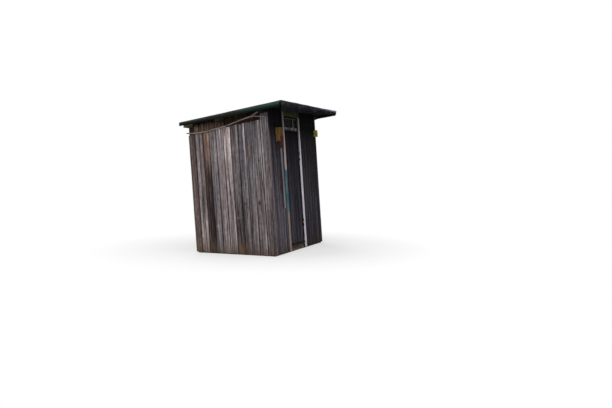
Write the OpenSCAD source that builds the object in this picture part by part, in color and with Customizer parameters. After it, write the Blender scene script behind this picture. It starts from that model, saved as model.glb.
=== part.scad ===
// Small timber outhouse with a single-pitch felt roof.
// The front faces -Y, the roof falls towards +Y, and the whole building leans back.
// The origin is on the ground, under the middle of the roof.

/* [Walls] */
// Outside width of the building
wall_w = 2050; // [1800:10:2200]
// Depth of the building at the ground, front to rear
wall_d = 1400; // [1200:10:1450]
// Angle at which the building leans back
lean = 4; // [0:0.5:5]
// Thickness of the planking
board_t = 22; // [18:1:28]
// Gap under the planking
foot_gap = 12; // [5:1:30]
// Distance of the side boards' tops below the roof boards, at the front
side_drop_front = 155; // [120:5:180]
// Distance of the side boards' tops below the roof boards, at the rear
side_drop_rear = 175; // [120:5:180]
// Width of the corner boards
corner_board_w = 125; // [90:5:150]

/* [Frame] */
// Width of the posts
post_w = 60; // [50:2:80]
// Width of the sills
sill_w = 80; // [70:2:110]
// Height of the sills
sill_h = 80; // [60:2:110]
// Height of the plates that carry the roof
plate_h = 70; // [60:2:90]
// Distance of the plates' ends inside the side fascias
plate_short = 30; // [5:5:120]
// Distance of the middle purlin behind the middle of the roof
purlin_back = 120; // [0:10:200]
// Thickness of the rails
rail_t = 40; // [30:2:50]
// Height of a rail
rail_h = 90; // [60:5:110]
// Height of the middle rails' underside above the ground
rail_z = 1000; // [700:10:1200]

/* [Roof] */
// Overhang of the roof beyond each side wall
side_over = 225; // [150:5:350]
// Overhang of the roof beyond the rear wall's top
rear_over = 27; // [10:1:120]
// Height of the roof's front edge
roof_top = 2370; // [2300:10:2500]
// Fall of the roof
pitch = 9.6; // [8:0.1:12]
// Distance of the roof's front edge in front of the front wall's foot
front_set = 180; // [120:5:220]
// Thickness of the roof boards
roof_board_t = 22; // [18:1:28]
// Thickness of the felt
felt_t = 5; // [3:0.5:8]
// Depth of the felt turned down over the sides and the rear
felt_lap = 28; // [15:1:40]
// Thickness of the felt folded down at the front
fold_t = 12; // [8:1:20]
// Depth of the front fold at the left end
fold_left = 165; // [100:5:180]
// Depth of the front fold at the right end
fold_right = 62; // [50:2:100]
// Depth of the waves along the front fold
fold_wave = 7; // [0:1:10]
// Thickness of the side fascias
fascia_t = 20; // [16:1:28]
// Height of the side fascias at the front
fascia_front_h = 82; // [60:2:100]
// Height of the side fascias at the rear
fascia_rear_h = 58; // [50:2:80]

/* [Doorway] */
// Left side of the doorway, from the middle of the building
door_x0 = -425; // [-480:5:-380]
// Width of the doorway
door_w = 600; // [560:5:700]
// Height of the window over the door
window_h = 207; // [160:1:260]
// Height of the wall over the window
head_h = 121; // [90:1:160]
// Height of the window's bottom rail
window_rail_h = 58; // [40:1:70]
// Width of the window's stiles
window_stile_w = 28; // [20:1:40]
// Height of the window's top rail
window_top_h = 20; // [15:1:30]
// Depth of the window frame
window_t = 30; // [26:1:38]
// Thickness of the glass
glass_t = 4; // [3:0.5:6]
// Width of the casing strips
strip_w = 56; // [40:1:70]
// Thickness of the casing strips
strip_t = 16; // [12:1:28]
// Distance of the right casing strip's top above the window
strip_up = 21; // [5:1:60]
// Thickness of the threshold and the floor boards
floor_t = 22; // [18:1:28]

/* [Door] */
// Distance of the door's face behind the wall's face
door_back = 15; // [12:1:20]
// Thickness of the door's boards
door_t = 22; // [18:1:28]
// Running gap around the door
door_gap = 6; // [5:1:8]
// Gap between the door's top and the window's bottom rail
door_top_gap = 32; // [8:1:50]
// Height of the ledges across the door's inside
ledge_h = 90; // [70:2:120]
// Thickness of the ledges
ledge_t = 24; // [18:1:28]
// Distance of the ledges from the door's top and bottom
ledge_in = 180; // [120:5:250]
// Radius of the hinge knuckles
knuckle_r = 6; // [5:0.5:6.5]
// Radius of the hinge pins
pin_r = 3; // [2:0.5:4]
// Height of a hinge
hinge_h = 120; // [90:5:150]
// Width of the hinge plate on the door
hinge_plate_w = 36; // [25:1:60]
// Thickness of the hinge plates
hinge_plate_t = 3; // [2:0.5:4]
// Distance of the lower hinge's middle above the door's foot
hinge_up = 332; // [150:2:500]
// Distance of the upper hinge's middle below the door's top
hinge_down = 385; // [150:5:500]
// Height of the handle's middle
handle_z = 1020; // [900:10:1100]
// Length of the handle
handle_l = 130; // [100:5:180]
// Radius of the handle's bar
handle_r = 6; // [4:0.5:8]

/* [Fittings] */
// Width of the yellow box
box_w = 120; // [100:5:140]
// Depth of the yellow box
box_d = 72; // [60:2:100]
// Height of the yellow box
box_h = 215; // [180:5:240]
// Distance of the yellow box from the doorway
box_off = 200; // [120:5:300]
// Height of the yellow box's underside
box_z = 1772; // [1700:2:1850]
// Width of the red plate
tag_w = 104; // [80:2:120]
// Height of the red plate
tag_h = 165; // [120:5:180]
// Thickness of the red plate
tag_t = 6; // [4:1:10]
// Distance of the red plate's foot below the yellow box
tag_drop = 84; // [40:2:100]
// Width of the small yellow block
block_w = 62; // [50:2:80]
// Depth of the small yellow block
block_d = 52; // [40:2:80]
// Height of the small yellow block
block_h = 116; // [100:2:140]
// Distance of the small yellow block from the building's right corner
block_in = 37; // [25:1:150]
// Height of the small yellow block's underside
block_z = 1892; // [1800:2:1950]
// Width of the wall batten
batten_w = 64; // [30:1:80]
// Gap between the wall batten and the left casing strip
batten_gap = 85; // [5:1:120]
// Length of the wall batten
batten_l = 957; // [500:1:1100]
// Distance of the wall batten's top below the red plate
batten_down = 16; // [5:1:60]

/* [Pole] */
// Radius of the pole's thin rear end
pole_thin = 10; // [8:1:12]
// Radius of the pole at its fork
pole_thick = 15; // [12:1:18]
// Radius of the nails that hold the pole
nail_r = 3; // [2:0.5:4]

/* [Hidden] */
$fn = 48;

// The roof's plan: it reaches over the rear wall, whose top leans back
rear_top = (roof_top - (felt_t + roof_board_t) / cos(pitch) - (front_set + wall_d) * tan(pitch))
    / (1 + tan(lean) * tan(pitch));
roof_w = wall_w + 2 * side_over;
roof_d = front_set + wall_d + rear_top * tan(lean) + rear_over;

// The walls' outer faces at the ground
front_y = front_set - roof_d / 2;
rear_y = front_y + wall_d;
half_w = wall_w / 2;
inner_x = half_w - board_t;

// Clearance where leaning or sloping faces bear on each other
seat = 0.1;

// Places counted inwards from the front or rear wall's outer face
post_in = board_t + seat;
post_back = post_in + post_w;

// The doorway and the door in it
door_x1 = door_x0 + door_w;
floor_z = sill_h + floor_t;
window_z1 = meet_z(front_y) - head_h;
window_z0 = window_z1 - window_h;
strip_top = window_z1 + strip_up;
door_top = window_z0 - door_top_gap;
leaf_x0 = door_x0 + door_gap;
leaf_x1 = door_x1 - door_gap;
leaf_back = door_back + door_t;
leaf_z0 = floor_z + door_gap + leaf_back * sin(lean);
stop_in = leaf_back + door_gap;
stop_w = 25;
transom_low = 10;
transom_high = 28;
// Gap of the casing's tops below the roof boards
eave_gap = 8;

// Drop of the side top rails' underside, a little below the side boards' tops
rail_lap = 20;
rail_foot = plate_h + rail_h + rail_lap;

// The hinge line
pin_x = door_x1 - knuckle_r - 1;
pin_in = door_back - knuckle_r - 1;
hinge_low = leaf_z0 + hinge_up;
hinge_high = door_top - hinge_down;
knuckle_gap = 0.5;
pin_play = 0.05;

// Width of the rims around the sunk panels of the yellow box and block
box_rim = 16;
block_rim = 12;

// The fittings' places along the front wall
box_x = door_x0 - box_off - box_w;
block_x = half_w - block_in - block_w;
batten_x = door_x0 - strip_w - batten_gap - batten_w;
batten_z1 = box_z - tag_drop - batten_down;

// The pole's route along the left wall, from the rear to the front. Each point is its distance
// out from the wall, back from the front wall's foot, and down from the roof boards.
POLE = [
    [17, 1555, 147], [17, 1395, 170], [17, 1245, 177], [16, 1095, 172], [16, 945, 164],
    [17, 805, 150], [18, 665, 126], [19, 530, 106], [21, 425, 90], [25, 355, 68], [30, 285, 42]
];
// The side branch, from the fork to the corner board
BRANCH = [[19, 475, 98], [22, 395, 97], [23, 325, 105], [20, 255, 123], [18, 190, 140]];
// Points of the route that a nail goes through
NAILED = [2, 6, 8];
SMOOTH = 4;
SIDES = 10;

// Y of a face that stands at y0 on the ground, at height z
function lean_y(y0, z) = y0 + z * tan(lean);
// Height of the roof boards' underside at y, less a drop
function roof_z(y, drop = 0) =
    roof_top - (felt_t + roof_board_t) / cos(pitch) - (y + roof_d / 2) * tan(pitch) - drop;
// Height at which a leaning face meets the line a drop below the roof boards
function meet_z(y0, drop = 0) = roof_z(y0, drop) / (1 + tan(lean) * tan(pitch));
// Drop of the side boards' tops at y
function side_drop(y) =
    side_drop_front + (side_drop_rear - side_drop_front) * (y - front_y) / wall_d;
// A point of the pole's route in the building's frame
function route_at(p) =
    let (y = front_y + p[1])
    [-half_w - p[0], y, roof_z(y, p[2])];
// Weight between two numbers
function mix(a, b, t) = a + (b - a) * t;

// A piece from x0 to x1 whose side view is the polygon of [y, z] points
module across(x0, x1, outline) {
    translate([x0, 0, 0])
        rotate([90, 0, 90])
            linear_extrude(x1 - x0)
                polygon(outline);
}

// A leaning piece between two heights
module leaning(x0, x1, y0, y1, z0, z1) {
    across(x0, x1, [
        [lean_y(y0, z0), z0], [lean_y(y1, z0), z0],
        [lean_y(y1, z1), z1], [lean_y(y0, z1), z1]
    ]);
}

// A leaning piece from a height up to a drop below the roof boards
module leaning_to_roof(x0, x1, y0, y1, z0, drop0 = 0, drop1 = 0) {
    top0 = meet_z(y0, drop0);
    top1 = meet_z(y1, drop1);
    across(x0, x1, [
        [lean_y(y0, z0), z0], [lean_y(y1, z0), z0],
        [lean_y(y1, top1), top1], [lean_y(y0, top0), top0]
    ]);
}

// A leaning piece whose top and foot both follow the roof
module under_roof(x0, x1, y0, y1, drop_top, drop_foot) {
    across(x0, x1, [
        [lean_y(y0, meet_z(y0, drop_foot)), meet_z(y0, drop_foot)],
        [lean_y(y1, meet_z(y1, drop_foot)), meet_z(y1, drop_foot)],
        [lean_y(y1, meet_z(y1, drop_top)), meet_z(y1, drop_top)],
        [lean_y(y0, meet_z(y0, drop_top)), meet_z(y0, drop_top)]
    ]);
}

// A sloping sheet above the roof boards' underside, with plumb ends
module roof_sheet(x0, x1, y0, y1, rise0, rise1) {
    low = rise0 / cos(pitch);
    high = rise1 / cos(pitch);
    across(x0, x1, [
        [y0, roof_z(y0) + low], [y1, roof_z(y1) + low],
        [y1, roof_z(y1) + high], [y0, roof_z(y0) + high]
    ]);
}

// The front wall's own frame: x along it, y inwards and z up along the lean
module on_front() {
    translate([0, front_y, 0])
        rotate([-lean, 0, 0])
            children();
}

// Distance up the lean of a point at height z
function up(z) = z / cos(lean);

// A block on the front wall between two corners, each [x, distance inwards, height]
module front_block(low, high) {
    size = high - low;
    on_front()
        translate([low[0], low[1], up(low[2])])
            cube([size[0], size[1], up(size[2])]);
}

// Both sides of the building, left and right
module both_sides() {
    children();
    mirror([1, 0, 0])
        children();
}

// Sills and floor
module front_sill() {
    color("dimgray")
        leaning(-inner_x, inner_x, front_y + post_in, front_y + post_in + sill_w, 0, sill_h);
}

module rear_sill() {
    color("dimgray")
        leaning(-inner_x, inner_x, rear_y - post_in - sill_w, rear_y - post_in, 0, sill_h);
}

module side_sills() {
    color("dimgray")
        both_sides()
            leaning(-inner_x, -inner_x + sill_w, front_y + post_in + sill_w + seat,
                rear_y - post_in - sill_w - seat, 0, sill_h);
}

module floor_boards() {
    edge = inner_x - post_w;
    middle = (front_y + rear_y) / 2;
    color("rosybrown") {
        leaning(-edge, edge, front_y + post_back + seat, rear_y - post_back - seat,
            sill_h, floor_z);
        translate([-inner_x + sill_w, middle - rail_t / 2, sill_h - post_w])
            cube([2 * (inner_x - sill_w), rail_t, post_w]);
    }
}

module threshold() {
    color("gray")
        leaning(door_x0, door_x1, front_y, front_y + post_back, sill_h, floor_z);
}

// Posts
module front_posts() {
    color("gray")
        both_sides()
            leaning_to_roof(-inner_x, -inner_x + post_w, front_y + post_in, front_y + post_back,
                sill_h, plate_h + seat, plate_h + seat);
}

module rear_posts() {
    color("gray")
        both_sides()
            leaning_to_roof(-inner_x, -inner_x + post_w, rear_y - post_back, rear_y - post_in,
                sill_h, plate_h + seat, plate_h + seat);
}

module door_posts() {
    color("gray") {
        leaning_to_roof(door_x0 - post_w, door_x0, front_y + post_in, front_y + post_back,
            sill_h, plate_h + seat, plate_h + seat);
        leaning_to_roof(door_x1, door_x1 + post_w, front_y + post_in, front_y + post_back,
            sill_h, plate_h + seat, plate_h + seat);
    }
}

// Plates, purlin and rails
module plate(y0) {
    end = roof_w / 2 - felt_t - fascia_t - plate_short;
    color("tan")
        under_roof(-end, end, y0, y0 + post_w, 0, plate_h);
}

module front_plate() {
    plate(front_y + post_in);
}

module middle_purlin() {
    plate(purlin_back - post_w);
}

module rear_plate() {
    plate(rear_y - post_back);
}

module side_top_rails() {
    color("sienna")
        both_sides()
            under_roof(-inner_x + board_t, -inner_x + board_t + rail_t,
                front_y + post_back + seat, rear_y - post_back - seat, plate_h + seat, rail_foot);
}

module wall_rails() {
    color("gray") {
        both_sides()
            leaning(-inner_x, -inner_x + rail_t, front_y + post_back + seat,
                rear_y - post_back - seat, rail_z, rail_z + rail_h);
        leaning(-inner_x + post_w, inner_x - post_w, rear_y - post_in - rail_t,
            rear_y - post_in, rail_z, rail_z + rail_h);
        leaning(-inner_x + post_w, door_x0 - post_w, front_y + post_in,
            front_y + post_in + rail_t, rail_z, rail_z + rail_h);
        leaning(door_x1 + post_w, inner_x - post_w, front_y + post_in,
            front_y + post_in + rail_t, rail_z, rail_z + rail_h);
    }
}

// Planking
module side_wall() {
    y0 = front_y + corner_board_w + seat;
    color("darkgray")
        leaning_to_roof(-half_w, -inner_x, y0, rear_y, foot_gap, side_drop(y0), side_drop(rear_y));
}

module left_wall() {
    side_wall();
}

module right_wall() {
    mirror([1, 0, 0])
        side_wall();
}

module corner_boards() {
    color("silver")
        both_sides()
            leaning_to_roof(-half_w, -inner_x, front_y, front_y + corner_board_w, foot_gap,
                plate_h + seat, plate_h + seat);
}

module rear_wall() {
    color("darkgray")
        leaning_to_roof(-inner_x, inner_x, rear_y - board_t, rear_y, foot_gap);
}

module front_boards(x0, x1, z0) {
    color("dimgray")
        leaning_to_roof(x0, x1, front_y, front_y + board_t, z0);
}

module front_wall_left() {
    front_boards(-inner_x, door_x0, foot_gap);
}

module front_wall_right() {
    front_boards(door_x1, inner_x, foot_gap);
}

module front_wall_over_door() {
    front_boards(door_x0, door_x1, window_z1);
}

module gable_boards() {
    color("saddlebrown")
        difference() {
            under_roof(-inner_x, -inner_x + board_t, front_y + post_back + seat,
                rear_y - post_back - seat, 0, rail_foot);
            under_roof(-inner_x - 1, -inner_x + board_t + 1, purlin_back - post_w - seat,
                purlin_back + seat, -5, plate_h + seat);
        }
}

module left_gable_boards() {
    gable_boards();
}

module right_gable_boards() {
    mirror([1, 0, 0])
        gable_boards();
}

// Casing, transom and window
module left_casing() {
    color("gainsboro")
        leaning_to_roof(door_x0 - strip_w, door_x0, front_y - strip_t, front_y - seat,
            foot_gap, eave_gap, eave_gap);
}

module right_casing() {
    color("gainsboro")
        leaning(door_x1, door_x1 + strip_w, front_y - strip_t, front_y - seat,
            foot_gap, strip_top);
}

module door_head() {
    color("khaki")
        leaning_to_roof(door_x0, door_x1 + strip_w, front_y - strip_t, front_y - seat,
            strip_top, eave_gap, eave_gap);
}

module transom_bar() {
    color("gray")
        front_block([door_x0, stop_in, door_top - transom_low],
            [door_x1, post_back, window_z0 + transom_high]);
}

module window_frame() {
    color("beige")
        difference() {
            front_block([door_x0, 0, window_z0], [door_x1, window_t, window_z1]);
            front_block([door_x0 + window_stile_w, -1, window_z0 + window_rail_h],
                [door_x1 - window_stile_w, window_t + 1, window_z1 - window_top_h]);
        }
}

module window_glass() {
    mid = (window_t - glass_t) / 2;
    color("lightcyan", 0.5)
        front_block([door_x0 + window_stile_w + seat, mid, window_z0 + window_rail_h + seat],
            [door_x1 - window_stile_w - seat, mid + glass_t, window_z1 - window_top_h - seat]);
}

module door_stop() {
    color("gray")
        front_block([door_x0, stop_in, leaf_z0],
            [door_x0 + stop_w, post_back, door_top - transom_low - seat]);
}

// Roof
module roof_boards() {
    edge = roof_w / 2 - felt_t - fascia_t;
    color("dimgray")
        roof_sheet(-edge, edge, fold_t - roof_d / 2, roof_d / 2 - felt_t, seat,
            roof_board_t - seat);
}

module roof_felt() {
    top = roof_board_t + felt_t;
    edge = roof_w / 2;
    front = fold_t - roof_d / 2;
    rear = roof_d / 2;
    color("darkslategray")
        difference() {
            roof_sheet(-edge, edge, front, rear, top - felt_lap, top);
            roof_sheet(felt_t - edge, edge - felt_t, front - 1, rear - felt_t,
                -felt_lap, roof_board_t);
        }
}

// The felt folded down over the front edge: deep at the left, shallow at the right
module felt_fold() {
    steps = 24;
    edge = roof_w / 2;
    foot = [
        for (i = [0 : steps])
            [mix(edge, -edge, i / steps),
             roof_top - mix(fold_right, fold_left, i / steps) + fold_wave * sin(i * 77) * sin(i * 7.5)]
    ];
    top = [[-edge, roof_top], [edge, roof_top]];
    color("black")
        translate([0, fold_t - roof_d / 2, 0])
            rotate([90, 0, 0])
                linear_extrude(fold_t)
                    polygon(concat(foot, top));
}

module fascia() {
    x0 = felt_t - roof_w / 2;
    front = fold_t - roof_d / 2;
    rear = roof_d / 2 - felt_t;
    deck = (roof_board_t - seat) / cos(pitch);
    color("darkgreen")
        across(x0, x0 + fascia_t, [
            [front, roof_z(front) + deck - fascia_front_h],
            [rear, roof_z(rear) + deck - fascia_rear_h],
            [rear, roof_z(rear) + deck],
            [front, roof_z(front) + deck]
        ]);
}

module left_fascia() {
    fascia();
}

module right_fascia() {
    mirror([1, 0, 0])
        fascia();
}

// The crooked pole: a smooth curve through the route's points, swept by uneven rings
function unit(v) = v / norm(v);
function clamp_i(i, n) = max(0, min(n - 1, i));
function curve_at(p, i, t) =
    let (n = len(p), a = p[clamp_i(i - 1, n)], b = p[i], c = p[clamp_i(i + 1, n)],
         d = p[clamp_i(i + 2, n)])
    0.5 * (2 * b + (c - a) * t + (2 * a - 5 * b + 4 * c - d) * t * t
        + (3 * b - a - 3 * c + d) * t * t * t);
function curve(p) = [
    for (k = [0 : SMOOTH * (len(p) - 1)])
        let (i = min(floor(k / SMOOTH), len(p) - 2))
        curve_at(p, i, k / SMOOTH - i)
];
function ring(p, i, r) =
    let (n = len(p), t = unit(p[clamp_i(i + 1, n)] - p[clamp_i(i - 1, n)]),
         a = unit(cross([1, 0, 0], t)), b = cross(t, a))
    [
        for (k = [0 : SIDES - 1])
            let (w = r * (1 + 0.07 * sin(i * 97 + k * 131)))
            p[i] + w * (cos(k * 360 / SIDES) * a + sin(k * 360 / SIDES) * b)
    ];

module limb(route, r0, r1) {
    path = curve([for (p = route) route_at(p)]);
    n = len(path);
    points = [for (i = [0 : n - 1]) each ring(path, i, mix(r0, r1, i / (n - 1)))];
    sides = [
        for (i = [0 : n - 2], k = [0 : SIDES - 1])
            let (m = (k + 1) % SIDES)
            [i * SIDES + k, (i + 1) * SIDES + k, (i + 1) * SIDES + m, i * SIDES + m]
    ];
    first = [for (k = [0 : SIDES - 1]) k];
    last = [for (k = [SIDES - 1 : -1 : 0]) (n - 1) * SIDES + k];
    polyhedron(points, concat(sides, [first, last]));
}

module side_pole() {
    color("wheat") {
        limb(POLE, pole_thin, pole_thick - 3);
        limb(BRANCH, pole_thick - 4, pole_thin);
    }
}

module pole_nails() {
    color("dimgray")
        for (i = NAILED) {
            p = route_at(POLE[i]);
            face = p[2] > roof_z(p[1], side_drop(p[1])) ? -inner_x : -half_w;
            translate([p[0] - pole_thick - 2, p[1], p[2]])
                rotate([0, 90, 0])
                    cylinder(r = nail_r, h = face - p[0] + pole_thick + 2);
        }
}

// Fittings on the front wall
module wall_batten() {
    color("darkgray")
        front_block([batten_x, -strip_t, batten_z1 - batten_l],
            [batten_x + batten_w, -seat, batten_z1]);
}

// A closed box with a sunk panel in its front and its left side
module panelled_box(w, d, h, rim, sunk) {
    difference() {
        translate([0, -d, 0])
            cube([w, d, h]);
        translate([rim, -d - 1, rim])
            cube([w - 2 * rim, sunk + 1, h - 2 * rim]);
        translate([-1, rim - d, rim])
            cube([sunk + 1, d - 2 * rim, h - 2 * rim]);
    }
}

module yellow_box() {
    color("goldenrod")
        on_front()
            translate([box_x, -seat, up(box_z)])
                panelled_box(box_w, box_d, box_h, box_rim, 5);
}

module red_plate() {
    low = box_z - tag_drop;
    color("firebrick")
        front_block([box_x + box_w - tag_w, -box_d - tag_t - 2 * seat, low],
            [box_x + box_w, -box_d - 2 * seat, low + tag_h]);
}

module yellow_block() {
    color("khaki")
        on_front()
            translate([block_x, -seat, up(block_z)])
                panelled_box(block_w, block_d, block_h, block_rim, 3);
}

// Hinges: the outer knuckles and the pin are on the frame, the middle knuckle is on the door
module at_hinges() {
    on_front()
        for (z = [hinge_low, hinge_high])
            translate([pin_x, pin_in, up(z)])
                children();
}

module hinge_frame_plates() {
    third = hinge_h / 3;
    color("black")
        at_hinges() {
            for (z = [-hinge_h / 2, third / 2]) {
                translate([0, 0, z])
                    cylinder(r = knuckle_r, h = third);
                translate([door_x1 - pin_x - hinge_plate_t, -strip_t - pin_in + 4, z])
                    cube([hinge_plate_t, strip_t + pin_in, third]);
            }
            translate([0, 0, -hinge_h / 2])
                cylinder(r = pin_r, h = hinge_h);
        }
}

module hinge_door_plates() {
    third = hinge_h / 3 - 2 * knuckle_gap;
    back = door_back - pin_in - seat;
    color("black")
        at_hinges()
            difference() {
                union() {
                    translate([0, 0, -third / 2])
                        cylinder(r = knuckle_r, h = third);
                    translate([-knuckle_r - 2, back - hinge_plate_t, -third / 2])
                        cube([knuckle_r + 2, hinge_plate_t, third]);
                    translate([-knuckle_r - 1 - hinge_plate_w, back - hinge_plate_t, -hinge_h / 2])
                        cube([hinge_plate_w, hinge_plate_t, hinge_h]);
                }
                translate([0, 0, -hinge_h])
                    cylinder(r = pin_r + pin_play, h = 2 * hinge_h);
            }
}

// Door
module door_boards() {
    color("dimgray")
        front_block([leaf_x0, door_back, leaf_z0], [leaf_x1, leaf_back, door_top]);
}

module door_ledges() {
    x0 = door_x0 + stop_w + 2 * door_gap;
    x1 = leaf_x1 - stop_w;
    color("gray")
        for (z = [leaf_z0 + ledge_in, door_top - ledge_in - ledge_h])
            front_block([x0, leaf_back + seat, z], [x1, leaf_back + ledge_t, z + ledge_h]);
}

module door_handle() {
    reach = 28;
    handle_in = 45;
    handle_end = 15;
    color("black")
        on_front()
            translate([leaf_x0 + handle_in, door_back - seat, up(handle_z)]) {
                translate([0, -reach, -handle_l / 2])
                    cylinder(r = handle_r, h = handle_l);
                for (z = [handle_end - handle_l / 2, handle_l / 2 - handle_end])
                    translate([0, 0, z])
                        rotate([90, 0, 0])
                            cylinder(r = handle_r - 1, h = reach);
            }
}

front_sill();
rear_sill();
side_sills();
floor_boards();  // floor
front_posts();
rear_posts();
door_posts();
front_plate();
middle_purlin();
rear_plate();
side_top_rails();
wall_rails();
left_wall();
right_wall();
rear_wall();
front_wall_left();
front_wall_right();
front_wall_over_door();
corner_boards();
left_gable_boards();
right_gable_boards();
left_casing();
right_casing();
door_head();
threshold();
transom_bar();
window_frame();
window_glass();
door_stop();
roof_boards();
roof_felt();
felt_fold();
left_fascia();
right_fascia();
side_pole();
pole_nails();
wall_batten();
yellow_box();
red_plate();
yellow_block();
hinge_frame_plates();
door_boards();
door_ledges();
hinge_door_plates();
door_handle();
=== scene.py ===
import math
from collections import namedtuple

import bmesh
import bpy
import numpy as np
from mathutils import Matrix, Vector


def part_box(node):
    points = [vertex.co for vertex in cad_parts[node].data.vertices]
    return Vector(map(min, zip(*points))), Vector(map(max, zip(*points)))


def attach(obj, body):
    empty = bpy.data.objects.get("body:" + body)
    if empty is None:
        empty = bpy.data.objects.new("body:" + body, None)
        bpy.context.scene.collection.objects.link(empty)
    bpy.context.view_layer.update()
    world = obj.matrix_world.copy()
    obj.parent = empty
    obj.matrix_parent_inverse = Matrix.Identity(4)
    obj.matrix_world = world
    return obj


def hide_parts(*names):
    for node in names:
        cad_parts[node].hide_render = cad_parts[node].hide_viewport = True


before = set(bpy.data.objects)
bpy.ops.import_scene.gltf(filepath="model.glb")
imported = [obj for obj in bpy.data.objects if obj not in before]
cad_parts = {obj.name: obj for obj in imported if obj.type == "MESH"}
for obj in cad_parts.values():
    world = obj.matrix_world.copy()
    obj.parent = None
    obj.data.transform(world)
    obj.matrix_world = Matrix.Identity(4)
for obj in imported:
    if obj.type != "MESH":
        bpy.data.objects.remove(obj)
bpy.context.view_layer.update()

bl_info = {
    "name": "Timber Outhouse",
    "version": (1, 0, 0),
    "blender": (4, 5, 0),
    "location": "3D View > Sidebar > Outhouse",
    "description": "Models the planking, roof, door and fittings of a small leaning timber outhouse",
    "category": "Object",
}

# Sizes of the building, in metres and radians, as the CAD frame has them
LEAN = math.radians(4.0)
SLOPE = math.tan(LEAN)
PITCH = math.radians(9.6)
FALL = math.tan(PITCH)
ROOF_W, ROOF_D, ROOF_TOP = 2.5, 1.750428, 2.37
EAVE_Y = -ROOF_D / 2
FRONT_Y, REAR_Y, WALL_D = -0.695214, 0.704786, 1.4
HALF_W, INNER_X, CORNER_W = 1.025, 1.003, 0.125
BOARD_T, FELT_T, FASCIA_T, FOLD_T = 0.022, 0.005, 0.02, 0.012
SEAT = 0.0001
POST_W = 0.06
POST_IN = BOARD_T + SEAT
POST_BACK = POST_IN + POST_W
SIDE_Y0 = CORNER_W + SEAT
SILL_H, SILL_W, FLOOR_Z, FOOT_GAP, PLATE_H, PURLIN_BACK = 0.08, 0.08, 0.102, 0.012, 0.07, 0.12
RAIL_Z, RAIL_H, RAIL_T, TOP_RAIL_H = 1.0, 0.09, 0.04, 0.11
DOOR_X0, DOOR_X1, DOOR_IN, DOOR_BACK = -0.425, 0.175, 0.015, 0.037
STRIP_T, STRIP_W = 0.016, 0.056
# Where the door's boards meet, from its left edge
DOOR_JOINTS = (0.112, 0.233, 0.345, 0.468)

# How far the backs of neighbouring boards lap, so that no light falls through their gap
BACK_LAP = 0.0009
# Where the left wall's boards meet at their feet, from the front wall's face to the rear
LEFT_EDGES = (0.130, 0.269, 0.399, 0.516, 0.647, 0.776, 0.905, 1.026, 1.143, 1.28, 1.399)

# How a timber is cut: points along and across it, the gap at its edges, their waves, its cupping,
# how ragged its foot and its top are, and how often its foot is split
Cut = namedtuple("Cut", "along across gap wave cup foot top split", defaults=(0.0, 0.0, 0.0))
POST = Cut(14, 2, 0.0, 0.0012, 0.001)
BEAM = Cut(10, 2, 0.0, 0.001, 0.0008)
PLATE = Cut(24, 2, 0.0, 0.0015, 0.001, 0.004, 0.004)
TOP_RAIL = Cut(12, 2, 0.0, 0.001, 0.001)
JOIST = Cut(10, 2, 0.0, 0.001, 0.001)
FLOOR_BOARD = Cut(16, 5, 0.001, 0.0012, 0.0012, 0.002, 0.002)
THRESHOLD = Cut(12, 2, 0.0, 0.0008, 0.0012)
CASING = Cut(22, 3, 0.0006, 0.0014, 0.0012, 0.012)
HEAD_BOARD = Cut(24, 4, 0.0, 0.0015, 0.0015, 0.001, 0.002)
BATTEN = Cut(14, 3, 0.0004, 0.0016, 0.0014, 0.006, 0.003)
WINDOW_RAIL = Cut(14, 2, 0.0, 0.0008, 0.0012)
WINDOW_STILE = Cut(6, 2, 0.0, 0.0006, 0.001)
TRANSOM = Cut(12, 2, 0.0, 0.0008, 0.001)
DOOR_STOP = Cut(12, 2, 0.0, 0.0006, 0.001)
LEDGE = Cut(12, 3, 0.0, 0.0012, 0.001, 0.003, 0.003)
ROOF_BOARD = Cut(24, 4, 0.0015, 0.002, 0.001, 0.006, 0.002)
FASCIA = Cut(26, 9, 0.0, 0.0022, 0.0012)
GABLE_FRONT = Cut(7, 7, 0.001, 0.001, 0.002, 0.003)
GABLE_MIDDLE = Cut(5, 3, 0.001, 0.001, 0.001, 0.002)
GABLE_REAR = Cut(7, 5, 0.0018, 0.0016, 0.002, 0.003)

# Timber colours: greys, mauves and browns of the weathered sides, and the darker front, darker partly as
# painted shade
SIDE_TONES = ((0.17, 0.145, 0.148), (0.13, 0.112, 0.116), (0.15, 0.125, 0.12), (0.21, 0.178, 0.176),
              (0.12, 0.085, 0.072), (0.095, 0.082, 0.088), (0.06, 0.045, 0.042))
FRONT_TONES = ((0.037, 0.034, 0.044), (0.042, 0.037, 0.046), (0.029, 0.026, 0.034), (0.048, 0.042, 0.048))
DOOR_TONES = ((0.026, 0.024, 0.031), (0.021, 0.02, 0.026), (0.031, 0.028, 0.034))
GABLE_TONES = ((0.075, 0.052, 0.041), (0.055, 0.038, 0.031), (0.088, 0.06, 0.047))
LEDGE_TONES = ((0.085, 0.066, 0.052), (0.072, 0.058, 0.048), (0.095, 0.073, 0.056))
INNER_TONES = ((0.15, 0.105, 0.07), (0.13, 0.095, 0.068), (0.17, 0.12, 0.08))
# The roof boards' near-black tones are painted shade under the roof
ROOF_TONES = ((0.014, 0.011, 0.009), (0.011, 0.009, 0.008), (0.018, 0.013, 0.011))
WHITE = (1.0, 1.0, 1.0, 1.0)


# Heights under the roof

def roof_under(y, drop=0.0):
    """Height of the roof boards' underside at y, less a drop."""
    return ROOF_TOP - (FELT_T + BOARD_T) / math.cos(PITCH) - (y - EAVE_Y) * FALL - drop


def leaning_top(y0, drop=0.0):
    """Height at which a leaning face that stands at y0 meets the roof boards, less a drop."""
    return roof_under(y0, drop) / (1 + SLOPE * FALL)


def between_drops(y0, low, high, share):
    """Height of a leaning face at y0, part of the way from one drop under the roof to another."""
    foot = leaning_top(y0, low)
    return foot + (leaning_top(y0, high) - foot) * share


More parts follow.
